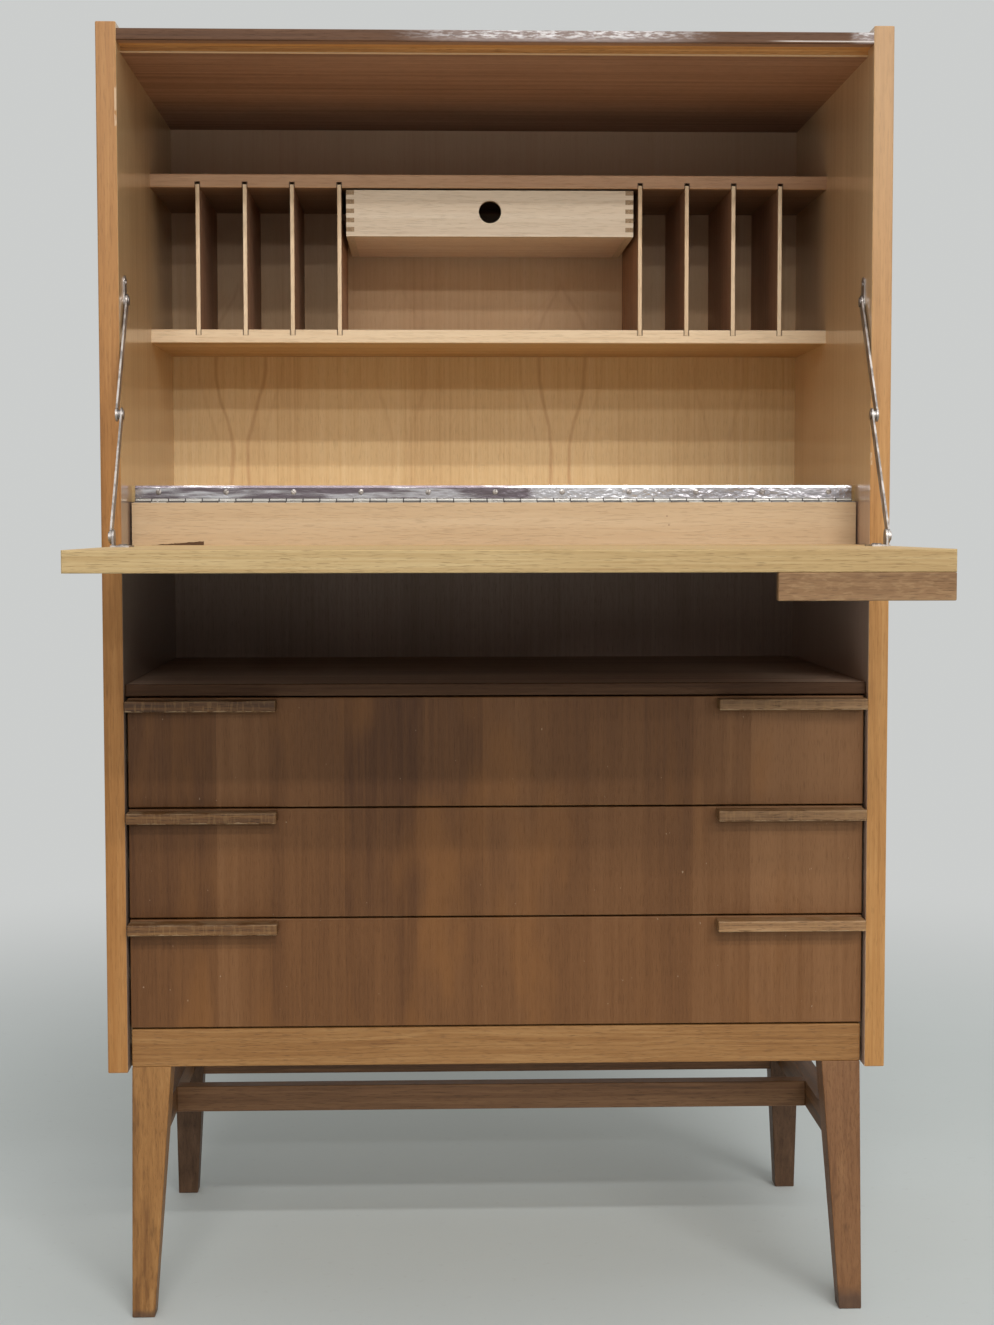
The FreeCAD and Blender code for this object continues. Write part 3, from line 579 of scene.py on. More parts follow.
def panel_finish(side, lipping, inner, niche_light_and_shade, seed, painted_sheen, scuff):
    """Lipping near the front edge, paler towards the top with a painted sheen; else veneer by the side that
    it faces.

    Below the desk the inner face has the stain of the niche, scaled by a factor of painted light and shade.
    The scuff is a stretch of the inner front arris, from one height to another, where the lacquer is chipped
    away."""
    node = side + "_side_panel"
    f = Finish("panel_" + side)
    grain = Grain(f, "z", ring=0.009, waver=0.008, seed=seed)
    outside = abs(f.x) > outer_half - VENEER_THICKNESS
    inner_skin = abs(f.x) < inner_half + VENEER_THICKNESS
    inside = inner_skin * (f.y > front_edge + FACE_DEPTH)
    golden = grain.stain(lipping, grain.tone(0.7, 0.7, 0.6), 0.3)
    # Painted sheen: the lipping turns paler and greyer towards the top.
    golden = f.blend(f.z.step(*SHEEN_HEIGHTS) * painted_sheen, golden, PAINTED_SHEEN_PALE)
    colour = f.blend(outside, golden, grain.stain(TEAK_VENEER))
    quiet = grain.tone(0.5, 0.3, 0.6)
    below = f.shade(grain.stain(NICHE_BACK, quiet, 0.2), niche_light_and_shade)
    skin = f.blend(f.z < desk_low, grain.stain(inner, quiet, 0.2), below)
    colour = f.blend(inside, colour, skin)
    lip = f.y < front_edge + LIP_THICKNESS
    colour = f.blend(lip * (1 - inside), colour, golden)
    wear = edge_wear(f, node, PANEL_WEAR)
    colour = f.blend(wear * 0.3, colour, lipping[2])
    low, high = scuff
    chipped = (f.z > low) * (f.z < high) * inner_skin * (f.y < front_edge + SCUFF_DEPTH)
    chipped = chipped * f.noise((0.004, 0.004, 0.010), seed + 3, 3.0).step(0.40, 0.55)
    colour = f.blend(chipped * 0.45, colour, CHIPPED_EDGE)
    rough = grain.sheen(0.1, 0.45) + wear * 0.15
    return f.dress(colour, rough, grain.height(), LACQUERED_GRAIN, 0.25,
                   Coat_Weight=inside * INNER_COAT, Coat_Roughness=COAT_ROUGHNESS)


# Painted light and shade: the right inner face is a paler copy of the veneer and its niche side is lit up;
# the left niche side is darkened.
paint(panel_finish("left", GOLDEN_LEFT, INNER_VENEER, 0.72, 70.0, 0.08, (1.150, 1.190)), "left_side_panel")
paint(panel_finish("right", GOLDEN, INNER_VENEER_PAINTED_LIT, 1.4, 73.0, 0.30, (0.830, 0.842)), "right_side_panel")
print("side panels dressed")

# %% [markdown]
# ## Back panel
# The veneer of the back was cut flat from the log, so its rings show as tall arches, one in each leaf,
# with straight grain between them. Their flanks are thin lines like the outline of a vase: narrow at the
# desk, wider towards the lower shelf, and closed to an arch above it. A flank is where the distance from
# the leaf's middle equals that half width.

# %% Arched figure of the back veneer
ARCH_MIDDLE = -0.284
LEAF_WIDTH = 0.1855
FLANKS = ((0.010, 0.028, 1.0), (0.027, 0.048, 0.30))
LINE_WIDTHS = (0.0003, 0.0036)
SWELL_HEIGHTS, ARCH_HEIGHTS = (0.855, 0.950), (0.985, 1.060)
PALER_HEIGHTS, END_HEIGHTS = (0.965, 0.985), (1.045, 1.055)
# Heights where the painted shade of the gallery and of the top bay comes in.
GALLERY_SHADE_HEIGHTS, BAY_SHADE_HEIGHTS = (0.975, 1.0), (1.02, 1.16)


def arches(f):
    """Lines where u is the half width: foot to head along an S-curve upwards, then to nothing in the arch."""
    leaf = (f.x - ARCH_MIDDLE) / LEAF_WIDTH + 0.5
    u = abs(leaf.part() - 0.5) * LEAF_WIDTH
    waver = (f.noise((0.06, 0.06, 0.09), 9.0) - 0.5) * 0.014
    swell = f.z.step(*SWELL_HEIGHTS)
    arch = 1 - f.z.step(*ARCH_HEIGHTS)
    lines = f.z * 0.0
    for foot, head, weight in FLANKS:
        off = abs(u + waver - (swell * (head - foot) + foot) * arch)
        lines = lines.most((1 - off.step(*LINE_WIDTHS)) * weight)
    strong = (leaf * 0.5).part() < 0.5
    paler = 1 - f.z.step(*PALER_HEIGHTS) * 0.35
    ended = 1 - f.z.step(*END_HEIGHTS)
    return lines * (strong * 0.65 + 0.35) * paler * ended


def back_finish():
    """Arched veneer above the desk with painted shade over the gallery and the top bay, the stain of the
    niche below it, plain board on the rear face.
    """
    f = Finish("back_veneer")
    grain = Grain(f, "z", ring=0.0048, waver=0.004, seed=80.0)
    pale = grain.stain(BACK_VENEER, grain.tone(0.65, 0.45, 0.6), 0.2)
    pale = f.blend(arches(f) * 0.40, pale, ARCH_LINE)
    # Painted shade: the back turns redder and darker behind the gallery, and darker still in the top bay.
    pale = f.blend(f.z.step(*GALLERY_SHADE_HEIGHTS) * 0.35, pale, GALLERY_PAINTED_SHADE)
    pale = f.blend(f.z.step(*BAY_SHADE_HEIGHTS) * 0.55, pale, BAY_PAINTED_SHADE)
    above = f.z > desk_low + 0.5 * (desk_top - desk_low)
    colour = f.blend(above, grain.stain(NICHE_BACK), pale)
    low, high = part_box("back_panel")
    rear = f.y > 0.5 * (low.y + high.y)
    colour = f.blend(rear, colour, grain.stain(BOX_WOOD))
    return f.dress(colour, grain.sheen(0.2, 0.5), grain.height(), VENEER_GRAIN)


paint(back_finish(), "back_panel")
print("back panel dressed")

# %% [markdown]
# ## Level boards
# The shelves, the desk floor and the dust panel lie flat, with their grain across the width. Each has one
# wood on its faces and another on its front edge, so they share one finish with two palettes. The
# dividers stand in grooves of the shelves, so their ends show there as thin dark outlines.

# %% Finish of a level board
LEVEL_WEAR = 0.0014
LINE_HALF = 0.0005
UPPER_HOUSING, LOWER_HOUSING = 0.0058, 0.0056


def level_board(name, node, face, edge, seed, under=None, housings=None, mirror=0.3):
    """Veneer on both faces, a strip along the front; under is the lower face's palette if it differs."""
    f = Finish(name)
    low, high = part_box(node)
    grain = Grain(f, "x", ring=0.010, waver=0.006, seed=seed)
    colour = grain.stain(face)
    if under:
        colour = f.blend(f.z < 0.5 * (low.z + high.z), colour, grain.stain(under))
    lip = f.y < low.y + VENEER_THICKNESS
    colour = f.blend(lip, colour, grain.stain(edge, grain.tone(0.6, 0.7, 0.6), 0.25))
    wear = edge_wear(f, node, LEVEL_WEAR)
    colour = f.blend(wear * 0.25, colour, edge[2])
    if housings:
        colour = f.blend(housing_lines(f, lip, *housings) * 0.85, colour, HOUSING_DARK)
    return f.dress(colour, grain.sheen(0.2, 0.5), grain.height(), VENEER_GRAIN, mirror)


def housing_lines(f, lip, shelf_side, reach):
    """Outlines of the dividers' ends in a shelf's edge: two flanks from one side of it, joined at reach."""
    boxes = sorted((low[X], high[X]) for low, high in islands("right_dividers"))
    first, half = 0.5 * sum(boxes[0]), 0.5 * (boxes[0][1] - boxes[0][0])
    pitch = (0.5 * sum(boxes[-1]) - first) / (len(boxes) - 1)
    along = (abs(f.x) - first) / pitch + 0.5
    from_middle = abs(along.part() - 0.5) * pitch
    deep = abs(f.z - shelf_side)
    flanks = (abs(from_middle - half - LINE_HALF) < LINE_HALF) * (deep < reach)
    end = (from_middle < half + 2 * LINE_HALF) * (abs(deep - reach) < LINE_HALF)
    return flanks.most(end) * lip * (along > 0.0) * (along < len(boxes))


housings = (place("upper_shelf", LOW, Z), UPPER_HOUSING)
# The upper shelf's front edge and underside get darker copies of the woods: painted shade.
shelf = level_board("upper_shelf_veneer", "upper_shelf", INNER_VENEER, SHADED_SHELF_EDGE_BEECH, 93.0,
                    SHADED_SHELF_UNDERSIDE, housings)
paint(shelf, "upper_shelf")
housings = (place("lower_shelf", HIGH, Z), LOWER_HOUSING)
shelf = level_board("lower_shelf_veneer", "lower_shelf", INNER_VENEER, PALE_BEECH, 96.0, None, housings)
paint(shelf, "lower_shelf")
paint(level_board("desk_veneer", "desk_floor", BACK_VENEER, PALE_OAK, 99.0, NICHE_TEAK), "desk_floor")
paint(level_board("dust_teak", "dust_panel", NICHE_TEAK, DUST_STAIN, 102.0, mirror=0.12), "dust_panel")
paint(level_board("bottom_wood", "bottom_panel", BOX_WOOD, BOX_WOOD, 105.0), "bottom_panel")
paint(plain_board("runner_beech", PALE_BEECH, "y", 108.0, gloss=0.65), "drawer_runners",
      "left_bearer", "right_bearer")
paint(plain_board("runner_teak", EDGE_STAIN, "y", 109.0, gloss=0.65), "stationery_runners")


def divider_finish(side, seed):
    """Thin board with faces darkened by painted shade and a pale strip along its front."""
    f = Finish("divider_beech_" + side)
    grain = Grain(f, "z", seed=seed)
    front = f.y < place(side + "_dividers", LOW, Y) + VENEER_THICKNESS
    # Painted shade: the faces are darker than the pale front strip.
    colour = f.blend(front, grain.stain(SHADED_DIVIDER_FACE), grain.stain(PALE_BEECH))
    return f.dress(colour, grain.sheen(0.2, 0.5), grain.height(), VENEER_GRAIN)


for side, seed in (("left", 111.0), ("right", 114.0)):
    paint(divider_finish(side, seed), side + "_dividers")
print("shelves and dividers dressed")

# %% [markdown]
# ## Top panel
# Its front edge is stained dark and was varnished by brush. The varnish ran, so a stretch right of the
# middle is a rippled mirror while the rest went dull. Over that stretch a grey painted sheen and milky
# painted highlights stand in for the lamps' reflections, and a thin painted highlight runs along the lower
# arris on the right. Under the edge is the rebate for the flap, whose step is a golden strip made lighter
# with painted light, with a painted highlight on its arris. Where the rebate starts comes from the mesh:
# the lowest of its foremost points.

# %% Finish of the top panel
# The rebate's reach, and the height of the painted highlight on its arris.
REBATE_SKIN, REBATE_REACH, REBATE_HIGHLIGHT_HEIGHT = 0.0002, 0.0008, 0.0014
RUN_START, RUN_END = (-0.11, 0.0), (0.12, 0.22)
LAST_RUN, ARRIS_HIGHLIGHT_START = (0.335, 0.350), (0.255, 0.285)
# Height and place of the painted highlights of the varnish run.
RIPPLE_HIGHLIGHT_HEIGHT = 0.005
ARRIS_HIGHLIGHT_ABOVE, ARRIS_HIGHLIGHT_HALF = 0.0010, 0.0006


def top_finish():
    """Teak above, browner below, a rebate step and arris with painted light, a dark edge with varnish runs
    and painted sheen.
    """
    f = Finish("top_veneer")
    low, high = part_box("top_panel")
    grain = Grain(f, "x", ring=0.010, waver=0.006, seed=90.0)
    colour = f.blend(f.z < 0.5 * (low.z + high.z), grain.stain(TEAK_VENEER), grain.stain(TOP_UNDERSIDE))
    rebate_top = lowest_where("top_panel", Z, Y)
    rebate_back = lowest_where("top_panel", Y, Z)
    rebate = (f.z < rebate_top + REBATE_SKIN) * (f.y < rebate_back + REBATE_REACH)
    # Painted light: the rebate's step is made lighter than the wood.
    colour = f.blend(rebate * (f.y > 0.5 * (low.y + rebate_back)), colour, grain.stain(REBATE_GOLD_AND_PAINTED_LIGHT))
    # Painted highlight along the rebate's arris.
    colour = f.blend(rebate * (f.z < low.z + REBATE_HIGHLIGHT_HEIGHT), colour, PAINTED_REBATE_HIGHLIGHT)
    lip = f.y < low.y + VENEER_THICKNESS
    colour = f.blend(lip, colour, grain.stain(EDGE_STAIN, grain.tone(0.6, 0.7, 0.6), 0.25))
    run = f.x.step(*RUN_START) * (1 - f.x.step(*RUN_END))
    varnish_and_sheen = lip * run.most(f.x.step(*LAST_RUN) * 0.8)
    rough = grain.sheen(0.2, 0.52) - varnish_and_sheen * 0.44
    waves = f.noise((0.012, 0.012, 0.006), 91.0, 3.0) * (varnish_and_sheen * 6.0)
    # Painted sheen: a grey veil over the varnish run.
    colour = f.blend(varnish_and_sheen * 0.40, colour, PAINTED_SHEEN_VEIL)
    # Painted highlights: milky-white patches on the ripples.
    ripple_highlight = varnish_and_sheen * f.noise((0.008, 0.008, 0.0018), 92.0, 4.0).step(0.42, 0.64)
    ripple_highlight = ripple_highlight * f.z.step(rebate_top, rebate_top + RIPPLE_HIGHLIGHT_HEIGHT)
    colour = f.blend(ripple_highlight * 0.72, colour, PAINTED_RIPPLE_HIGHLIGHT)
    # Painted highlight: a thin pale line along the lip's lower arris.
    arris_highlight = lip * (abs(f.z - rebate_top - ARRIS_HIGHLIGHT_ABOVE) < ARRIS_HIGHLIGHT_HALF) * f.x.step(*ARRIS_HIGHLIGHT_START)
    colour = f.blend(arris_highlight * 0.6, colour, PAINTED_ARRIS_HIGHLIGHT)
    return f.dress(colour, rough, grain.height() + waves, VENEER_GRAIN, 0.2)


paint(top_finish(), "top_panel")
print("top panel dressed")

# %% [markdown]
# ## Stationery drawer
# It is solid pale wood. Its sides pass through the front in fingers, which show end grain: darker, with
# no streaks.

# %% Finishes of the stationery drawer
END_SKIN = 0.0006


def side_with_fingers():
    """Long grain along the depth; end grain, which is darker and dotted, on the fingers' front ends."""
    f = Finish("stationery_side_maple")
    grain = Grain(f, "y", seed=120.0)
    low = place("stationery_drawer_sides", LOW, Y)
    dots = f.noise((0.0012, 0.0012, 0.0012), 4.0, 3.0).step(0.35, 0.7)
    end = f.blend(dots, END_DARK, END_PALE)
    colour = f.blend(f.y < low + END_SKIN, grain.stain(MAPLE), end)
    return f.dress(colour, grain.sheen(0.2, 0.5), grain.height(), VENEER_GRAIN)


paint(side_with_fingers(), "stationery_drawer_sides")
paint(plain_board("stationery_front_maple", MAPLE, "x", 123.0, ring=0.006, pores=0.2),
      "stationery_drawer_front")
paint(plain_board("stationery_back_maple", MAPLE, "x", 126.0, pores=0.2), "stationery_drawer_back")
paint(plain_board("stationery_bottom_maple", UNDER_MAPLE, "x", 129.0), "stationery_drawer_bottom")
print("stationery drawer dressed")

# %% [markdown]
# ## Flap
# The flap has the pale veneer on its writing side and the drawers' dark leaves on its outside, which
# faces the room when it is shut. Its front lipping is pale oak and its pull a greyer oak. The riser is
# beech, with a dark, sunk wedge along its foot and two dents.

# %% Finishes of the flap
def flap_finish():
    """Two veneers on one board: pale above half its thickness, dark leaves below."""
    f = Finish("flap_veneers")
    low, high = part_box("flap_panel")
    pale = Grain(f, "x", ring=0.011, waver=0.010, seed=132.0)
    dark = Grain(f, "y", ring=0.010, waver=0.004, seed=30.0)
    above = f.z > 0.5 * (low.z + high.z)
    colour = f.blend(above, leaf_colour(f, dark), pale.stain(BACK_VENEER, pores=0.25))
    return f.dress(colour, pale.sheen(0.2, 0.55), pale.height(), VENEER_GRAIN, 0.2)


# Where the dark wedge along the riser's foot lies, and how it widens.
WEDGE_MIDDLE = -0.314
WEDGE_HALF_LENGTH = 0.026
WEDGE_RISE, WEDGE_RAGGED = 0.0019, 0.0016
DENTS = ((0.170, 0.7810), (0.172, 0.7722))
DENT_RADIUS = 0.0011


def riser_finish():
    """Beech with two round dents, and a dark, sunk wedge along its foot that tapers to the left."""
    f = Finish("riser_beech")
    low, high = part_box("flap_riser")
    grain = Grain(f, "x", ring=0.014, waver=0.006, seed=135.0)
    colour = grain.stain(RISER_BEECH, grain.tone(0.5, 0.5, 0.7), 0.2)
    along = (f.x - WEDGE_MIDDLE) / WEDGE_HALF_LENGTH
    ragged = (f.noise((0.004, 0.004, 0.002), 2.0, 3.0) - 0.5) * WEDGE_RAGGED
    tall = (along + 1.0) * WEDGE_RISE + ragged
    dark_wedge = (f.z - low.z < tall) * (abs(along) < 1.0)
    # Darker and sunk along the foot, widening to the right.
    colour = f.blend(dark_wedge, colour, FOOT_WEDGE_DARK)
    for x, z in DENTS:
        off = ((f.x - x) * (f.x - x) + (f.z - z) * (f.z - z)).root()
        colour = f.blend((1 - off.step(0.4 * DENT_RADIUS, DENT_RADIUS)) * 0.7, colour, DENT_DARK)
    rough = grain.sheen(0.2, 0.5) + dark_wedge * 0.3
    return f.dress(colour, rough, grain.height() - dark_wedge * 4.0, OPEN_GRAIN)


def pull_finish():
    """Grey oak cut across its rays: short pale flecks all over a quiet grain, and rubbed edges."""
    f = Finish("flap_pull_oak")
    grain = Grain(f, "x", ring=0.006, seed=141.0)
    colour = grain.stain(GREY_OAK, grain.tone(0.6, 0.6, 0.8), 0.5)
    fleck = f.noise((0.010, 0.004, 0.0022), 143.0, 3.0).step(0.47, 0.66)
    colour = f.blend(fleck * 0.38, colour, RAY_FLECK)
    wear = edge_wear(f, "flap_pull", BOARD_WEAR)
    colour = f.blend(wear * 0.40, colour, RAY_WORN)
    return f.dress(colour, grain.sheen(0.25, 0.55), grain.height(), OPEN_GRAIN)


paint(flap_finish(), "flap_panel")
paint(riser_finish(), "flap_riser")
paint(plain_board("flap_lipping_oak", PALE_OAK, "x", 138.0, "flap_lipping", ring=0.0035, waver=0.003),
      "flap_lipping")
paint(pull_finish(), "flap_pull")
print("flap dressed")

# %% [markdown]
# ## Plated steel
# Hinge and stays are plated steel that has been handled for decades: satin grey, patched with tarnish and
# fine scratches. Patches change the colour and the roughness; scratches are a noise drawn out along the
# strip.

# %% Finish of the stays
STEEL_CLEAN, STEEL_TARNISHED = (0.440, 0.400, 0.370), (0.230, 0.205, 0.190)
SCRATCH_SIZE = (0.02, 0.0005)
SCRATCH_DEPTH = 0.00003


def worn_steel(name, long_axis, seed, patch):
    """Metal that is darker in long patches and scratched along one axis."""
    f = Finish(name)
    axis = GRAIN_AXES[long_axis]
    tarnish = f.noise(stretched(axis, patch, 0.25 * patch), seed, 4.0).step(0.40, 0.62)
    scratch = f.noise(stretched(axis, *SCRATCH_SIZE), seed + 5, 3.0)
    colour = f.blend(tarnish, STEEL_CLEAN, STEEL_TARNISHED)
    rough = tarnish * 0.10 + (scratch - 0.5) * 0.16 + 0.42
    return f.dress(colour, rough, scratch, SCRATCH_DEPTH, 0.5, Metallic=1.0)


for side, seed in (("left", 153.0), ("right", 156.0)):
    paint(worn_steel("stay_steel_" + side, "z", seed, 0.03), side + "_stay_plate", side + "_stay_bracket",
          side + "_stay_upper_arm", side + "_stay_lower_arm")
paint(worn_steel("screw_steel", "x", 159.0, 0.01), "carcass_screws", "flap_screws")
print("stays dressed")

# %% [markdown]
# ## Piano hinge
# It was rolled from thin sheet, so its leaf is a wavy mirror, more so on the right, and its upper rim is
# bent back a little and catches the lamps. The knuckles are brushed. Each meets the next at a dark joint,
# and every second one shows the shadow of the slit under it. Waves and rim are heights in metres, so the
# bump has a depth of one.

# %% Finish of the hinge
KNUCKLES = 43
RIM = 0.0022
RIM_SLOPE = 0.19
BARREL = 0.0042
JOINT_FROM = 0.465
LEAF_BRIGHT, LEAF_TARNISHED = (0.600, 0.580, 0.590), (0.120, 0.098, 0.108)
# Brushed knuckles; dark of the joints, also used for the painted shadow of the slit.
BARREL_BRUSHED, JOINT_AND_SLIT_SHADE = (0.340, 0.322, 0.290), (0.060, 0.050, 0.050)
BRIGHT_START, BRIGHT_END, WAVY_RIGHT = (0.030, 0.045), (0.150, 0.190), (-0.10, 0.22)
WAVE_LEFT, WAVE_MORE = 0.0003, 0.0009


def hinge_steel():
    """Tarnished wavy leaf, tilted rim above, and paler knuckles below with a dark line at each end and a
    painted shadow of the slit.
    """
    f = Finish("hinge_steel")
    low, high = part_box("hinge_upper_leaf")
    bright = f.x.step(*BRIGHT_START) * (1 - f.x.step(*BRIGHT_END) * 0.5)
    tarnish = f.noise((0.07, 0.02, 0.007), 150.0, 3.0).step(0.28, 0.52) * (1 - bright * 0.85)
    scratch = f.noise(stretched(X, *SCRATCH_SIZE), 155.0, 3.0)
    leaf = f.blend(tarnish, LEAF_BRIGHT, LEAF_TARNISHED)
    barrel = f.z < low.z + BARREL
    colour = f.blend(barrel, leaf, BARREL_BRUSHED)
    knuckle = (f.x - low.x) * (KNUCKLES / (high.x - low.x))
    joint = abs(knuckle.part() - 0.5) > JOINT_FROM
    # Painted shadow of the slit under every second knuckle.
    slit = ((knuckle * 0.5).part() < 0.5) * (f.z < low.z + 0.45 * BARREL)
    colour = f.blend(joint.most(slit * 0.55) * barrel, colour, JOINT_AND_SLIT_SHADE)
    waves = f.noise((0.016, 0.016, 0.012), 164.0, 3.0) * (f.x.step(*WAVY_RIGHT) * WAVE_MORE + WAVE_LEFT)
    rim = (f.z - (high.z - RIM)).most(0.0) * RIM_SLOPE
    rough = tarnish * 0.10 + (scratch - 0.5) * 0.14 + 0.18 + barrel * 0.20
    return f.dress(colour, rough, waves - rim, 1.0, 0.5, Metallic=1.0)


paint(hinge_steel(), "hinge_upper_leaf", "hinge_lower_leaf", "hinge_pin")
print("hinge dressed")

# %% [markdown]
# ## Screw heads
# The screws of the model end flush with their plates. The real ones have low domes with a slot, turned as
# the maker left them. Each screw is an island of its piece's mesh, so its place and its axis come from
# that island's box. One round grid of points, raised to a dome and sunk along the slot, is then set on
# every screw.

# %% Make slotted domes
HEAD_RADIUS = 0.0027
HEAD_RISE = 0.00045
SLOT_HALF = 0.00032
SLOT_DEPTH = 0.00037
SLOT_WALL, SLOT_END = 1.5, 0.97
LEAST_RISE = 0.00002
HUB = 0.02
RINGS, SPOKES = 14, 40
TURN_SEED = 7


def dome(turn):
    """Round grid: radius r and angle a give a height of rise * (1 - r squared), less the slot."""
    angles = np.linspace(0, 2 * np.pi, SPOKES, endpoint=False)
    r, a = np.meshgrid(np.linspace(HUB, 1.0, RINGS), angles, indexing="ij")
    u, v = HEAD_RADIUS * r * np.cos(a), HEAD_RADIUS * r * np.sin(a)
    across = np.abs(-u * np.sin(turn) + v * np.cos(turn))
    slot = np.clip(SLOT_WALL - across / SLOT_HALF, 0.0, 1.0) * (r < SLOT_END)
    high = np.maximum(HEAD_RISE * (1 - r ** 2) - SLOT_DEPTH * slot, LEAST_RISE)
    return np.stack([u, v, high], -1).reshape(-1, 3)


def dome_faces():
    """Quads between neighbouring rings, closed round the circle, a cap over the hub, and a base."""
    ring, spoke = np.meshgrid(np.arange(RINGS - 1), np.arange(SPOKES), indexing="ij")
    after = (spoke + 1) % SPOKES
    quads = np.stack([ring * SPOKES + spoke, (ring + 1) * SPOKES + spoke, (ring + 1) * SPOKES + after,
                      ring * SPOKES + after], -1).reshape(-1, 4)
    rim = (RINGS - 1) * SPOKES
    return quads.tolist() + [list(range(SPOKES)), list(range(rim, rim + SPOKES))[::-1]]


def head_frame(low, high):
    """Middle of a screw's outer face, its two axes and its way out: the box is longest along the screw."""
    middle = 0.5 * (low + high)
    axis = int(np.argmax(high - low))
    if axis == Z:
        out = np.array([0.0, 0.0, 1.0])
    elif axis == Y:
        out = np.array([0.0, -1.0, 0.0])
    else:
        out = np.array([-np.sign(middle[X]), 0.0, 0.0])
    face = np.where(np.arange(3) == axis, np.where(out > 0, high, low), middle)
    first = np.eye(3)[(axis + 1) % 3]
    return face, first, np.cross(out, first), out


def slotted_heads(name, node):
    """All the domes of one piece's screws as one mesh."""
    rng = np.random.default_rng(TURN_SEED)
    points, faces, template = [], [], dome_faces()
    for low, high in islands(node):
        face, first, second, out = head_frame(low, high)
        grid = dome(rng.uniform(0, np.pi))
        start = sum(len(p) for p in points)
        points.append(face + grid[:, :1] * first + grid[:, 1:2] * second + grid[:, 2:] * out)
        faces += [[i + start for i in quad] for quad in template]
    mesh = bpy.data.meshes.new(name)
    mesh.from_pydata(np.concatenate(points).tolist(), [], faces)
    mesh.polygons.foreach_set("use_smooth", ([True] * (len(template) - 1) + [False]) * len(points))
    mesh.materials.append(nodes[node].data.materials[0])
    heads = bpy.data.objects.new(name, mesh)
    bpy.context.scene.collection.objects.link(heads)
    return heads, len(points)


for body in ("carcass", "flap"):
    name = body + "_screw_heads"
    heads, count = slotted_heads(name, body + "_screws")
    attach(heads, body)
    print(name, count, "domes")

# %% [markdown]
# ## Floor
# A plain pale floor with the faint clouds of ground concrete. Near the cabinet it takes the shadow.
# Farther off it fades into the colour of the room, so that no horizon shows; only the camera, mirrors and
# glass see that, by Light Path.

# %% Make the floor
ROOM_COLOUR = (0.600, 0.612, 0.605)
FLOOR_HALF = 30.0
FADE_START, FADE_END = 0.9, 2.6
FLOOR_DARK, FLOOR_PALE = (0.665, 0.705, 0.690), (0.745, 0.790, 0.775)
FLOOR_SPECK = (0.48, 0.48, 0.45)
FLOOR_BUMP = 0.0002

floor_mesh = bpy.data.meshes.new("floor")
corners = np.array([(-1, -1, 0), (1, -1, 0), (1, 1, 0), (-1, 1, 0)], float) * FLOOR_HALF
floor_mesh.from_pydata(corners.tolist(), [], [(0, 1, 2, 3)])
floor = bpy.data.objects.new("floor", floor_mesh)
bpy.context.scene.collection.objects.link(floor)

ground = Finish("floor_concrete")
clouds = ground.noise((0.5, 0.5, 0.5), 1.0, 5.0)
specks = ground.noise((0.012, 0.012, 0.012), 2.0, 3.0).step(0.62, 0.72)
pale = ground.blend(clouds, FLOOR_DARK, FLOOR_PALE)
speckled = ground.blend(specks * 0.12, pale, FLOOR_SPECK)
ground.dress(speckled, clouds * 0.2 + 0.55, clouds, FLOOR_BUMP)


def seen_directly(finish):
    """1 for camera, mirror and glass rays, 0 for the rays that carry light."""
    path = finish.add("ShaderNodeLightPath", {}, {}, "Is Camera Ray")
    rays = path.socket.node.outputs
    return path.most(Sum(finish, rays["Is Glossy Ray"])).most(Sum(finish, rays["Is Transmission Ray"]))


distance = (ground.x * ground.x + ground.y * ground.y).root()
fade = distance.step(FADE_START, FADE_END) * seen_directly(ground)
glow = ground.add("ShaderNodeEmission", {}, {"Color": ROOM_COLOUR, "Strength": 1.0})
mixed = ground.add("ShaderNodeMixShader", {}, {0: fade, 1: Sum(ground, ground.shader.outputs[0]), 2: glow})
ground.feed(ground.tree.nodes["Material Output"].inputs["Surface"], mixed)
floor_mesh.materials.append(ground.material)
print("floor laid")

# %% [markdown]
# ## Light
# Four long rows of lamps hang under a high ceiling in front of the cabinet and reach to the right. Each
# throws the shadow of a shelf to its own height on the back, which gives the stepped bands of shade, and
# the flap's shadow on the drawers. A soft box above the flap and a pale even world fill the rest.
# Together they come to about one, so a colour renders as it is written.

# %% Hang the lamps
LIT_PLACE = Vector((0.0, 0.0, 0.97))
CEILING = 5.2
ROWS = ((0.115, 21.5), (0.115, 13.24), (0.21, 8.15), (0.21, 6.29))
ROW_START, ROW_END, ROW_THICKNESS = -0.20, 0.63, 0.02
ROW_SAMPLES = 200
BOX_SHARE = 0.36
BOX_SIZE = (3.0, 1.6)


def hang_lamp(name, size, spot, towards, energy):
    """A rectangular lamp at a spot, facing a point, that the camera itself doesn't see."""
    data = bpy.data.lights.new(name, "AREA")
    data.shape = "RECTANGLE"
    data.size, data.size_y = size
    data.energy = energy
    lamp = bpy.data.objects.new(name, data)
    lamp.location = spot
    lamp.rotation_mode = "QUATERNION"
    lamp.rotation_quaternion = (towards - spot).to_track_quat("-Z", "Y")
    lamp.visible_camera = False
    bpy.context.scene.collection.objects.link(lamp)
    return energy


def lamp_row(name, share, ahead):
    """A row along X: its power is the share times pi squared, over the mean of both cosines by distance
    squared. One cosine is at the lamp, the other at the lit place."""
    start, end = ROW_START * ahead, ROW_END * ahead
    spots = np.linspace(start, end, ROW_SAMPLES)
    slant = math.hypot(ahead, CEILING - LIT_PLACE.z)
    reach = np.hypot(spots, slant)
    energy = share * math.pi ** 2 / np.mean((slant / reach) * (ahead / reach) / reach ** 2)
    middle = Vector((0.5 * (start + end), 0.0, 0.0))
    spot = middle + Vector((0.0, -ahead, CEILING))
    return hang_lamp(name, (end - start, ROW_THICKNESS * slant), spot, LIT_PLACE + middle, energy)


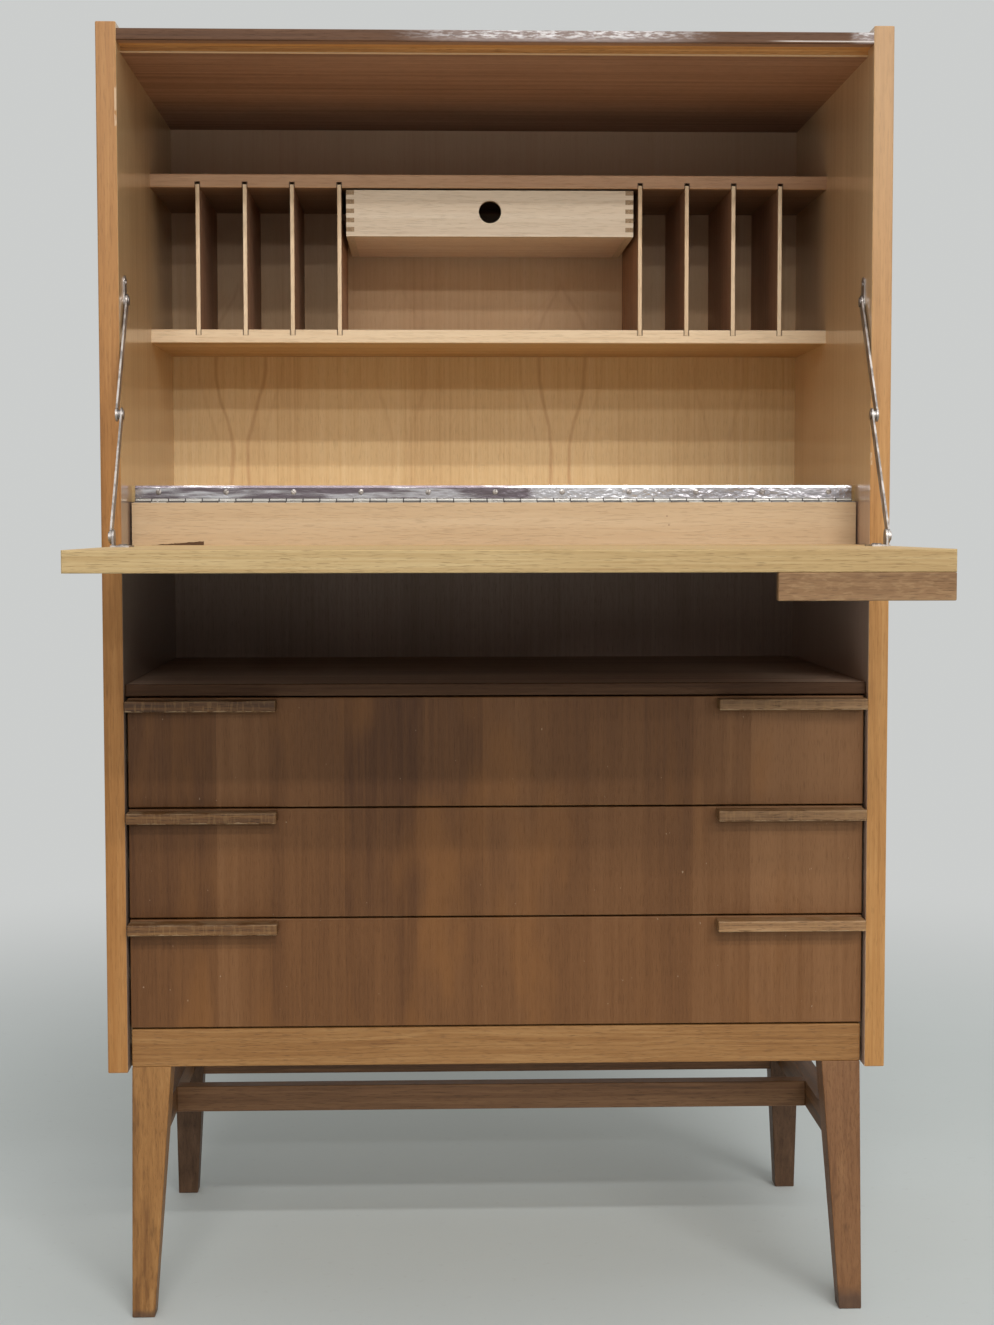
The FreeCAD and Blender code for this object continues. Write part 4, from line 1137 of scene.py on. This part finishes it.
energies = [lamp_row("row_%d" % i, *row) for i, row in enumerate(ROWS)]
box_spot, flap_middle = Vector((0.3, -1.0, 3.4)), Vector((0.0, -0.2, 0.76))
box_energy = BOX_SHARE * math.pi ** 2 * (box_spot - flap_middle).length_squared
energies.append(hang_lamp("soft_box", BOX_SIZE, box_spot, flap_middle, box_energy))
print("lamps of", [round(e) for e in energies], "watts")

# %% [markdown]
# ## World
# The world is an even pale light. Seen by the camera, in a mirror or through glass, it has the colour of
# the room, which is also what the floor fades into.

# %% Fill the world
WORLD_LEVEL = 0.28


class Surroundings(Finish):
    """The same tools on the nodes of a world, which has no surface to dress."""

    def __init__(self, world):
        self.tree = world.node_tree


room = bpy.data.worlds.new("pale_room")
bpy.context.scene.world = room
room.use_nodes = True
around = Surroundings(room)
background = around.tree.nodes["Background"].inputs
around.feed(background["Color"], ROOM_COLOUR)
dim = WORLD_LEVEL / ROOM_COLOUR[0]
strength = {"Value": seen_directly(around), "To Min": dim, "To Max": 1.0}
around.feed(background["Strength"], around.add("ShaderNodeMapRange", {}, strength))
bpy.context.scene.view_settings.view_transform = "Standard"
print("world level", WORLD_LEVEL)

# %% [markdown]
# ## Camera
# The photograph was taken from in front, a little left of the middle and at desk height, tipped slightly
# down. The lens is given by its focal length in pixels, over the height of the picture, times the
# sensor's long side.

# %% Place the camera
PICTURE_HEIGHT = 1325
FOCAL_PIXELS = 2160.8
SENSOR = 36.0
EYE = Vector((-0.0667, -2.1282, 0.7724))
YAW, PITCH, ROLL = 0.03162, 0.06357, -0.0011

camera_data = bpy.data.cameras.new("camera")
camera_data.sensor_width = SENSOR
camera_data.lens = FOCAL_PIXELS / PICTURE_HEIGHT * SENSOR
camera = bpy.data.objects.new("camera", camera_data)
bpy.context.scene.collection.objects.link(camera)
forward = Vector((math.cos(PITCH) * math.sin(YAW), math.cos(PITCH) * math.cos(YAW), -math.sin(PITCH)))
level_right = Vector((math.cos(YAW), -math.sin(YAW), 0.0))
level_up = level_right.cross(forward)
right = math.cos(ROLL) * level_right + math.sin(ROLL) * level_up
up = right.cross(forward)
camera.matrix_world = Matrix.Translation(EYE) @ Matrix((right, up, -forward)).transposed().to_4x4()
bpy.context.scene.camera = camera
print("lens", round(camera_data.lens, 2), "mm")
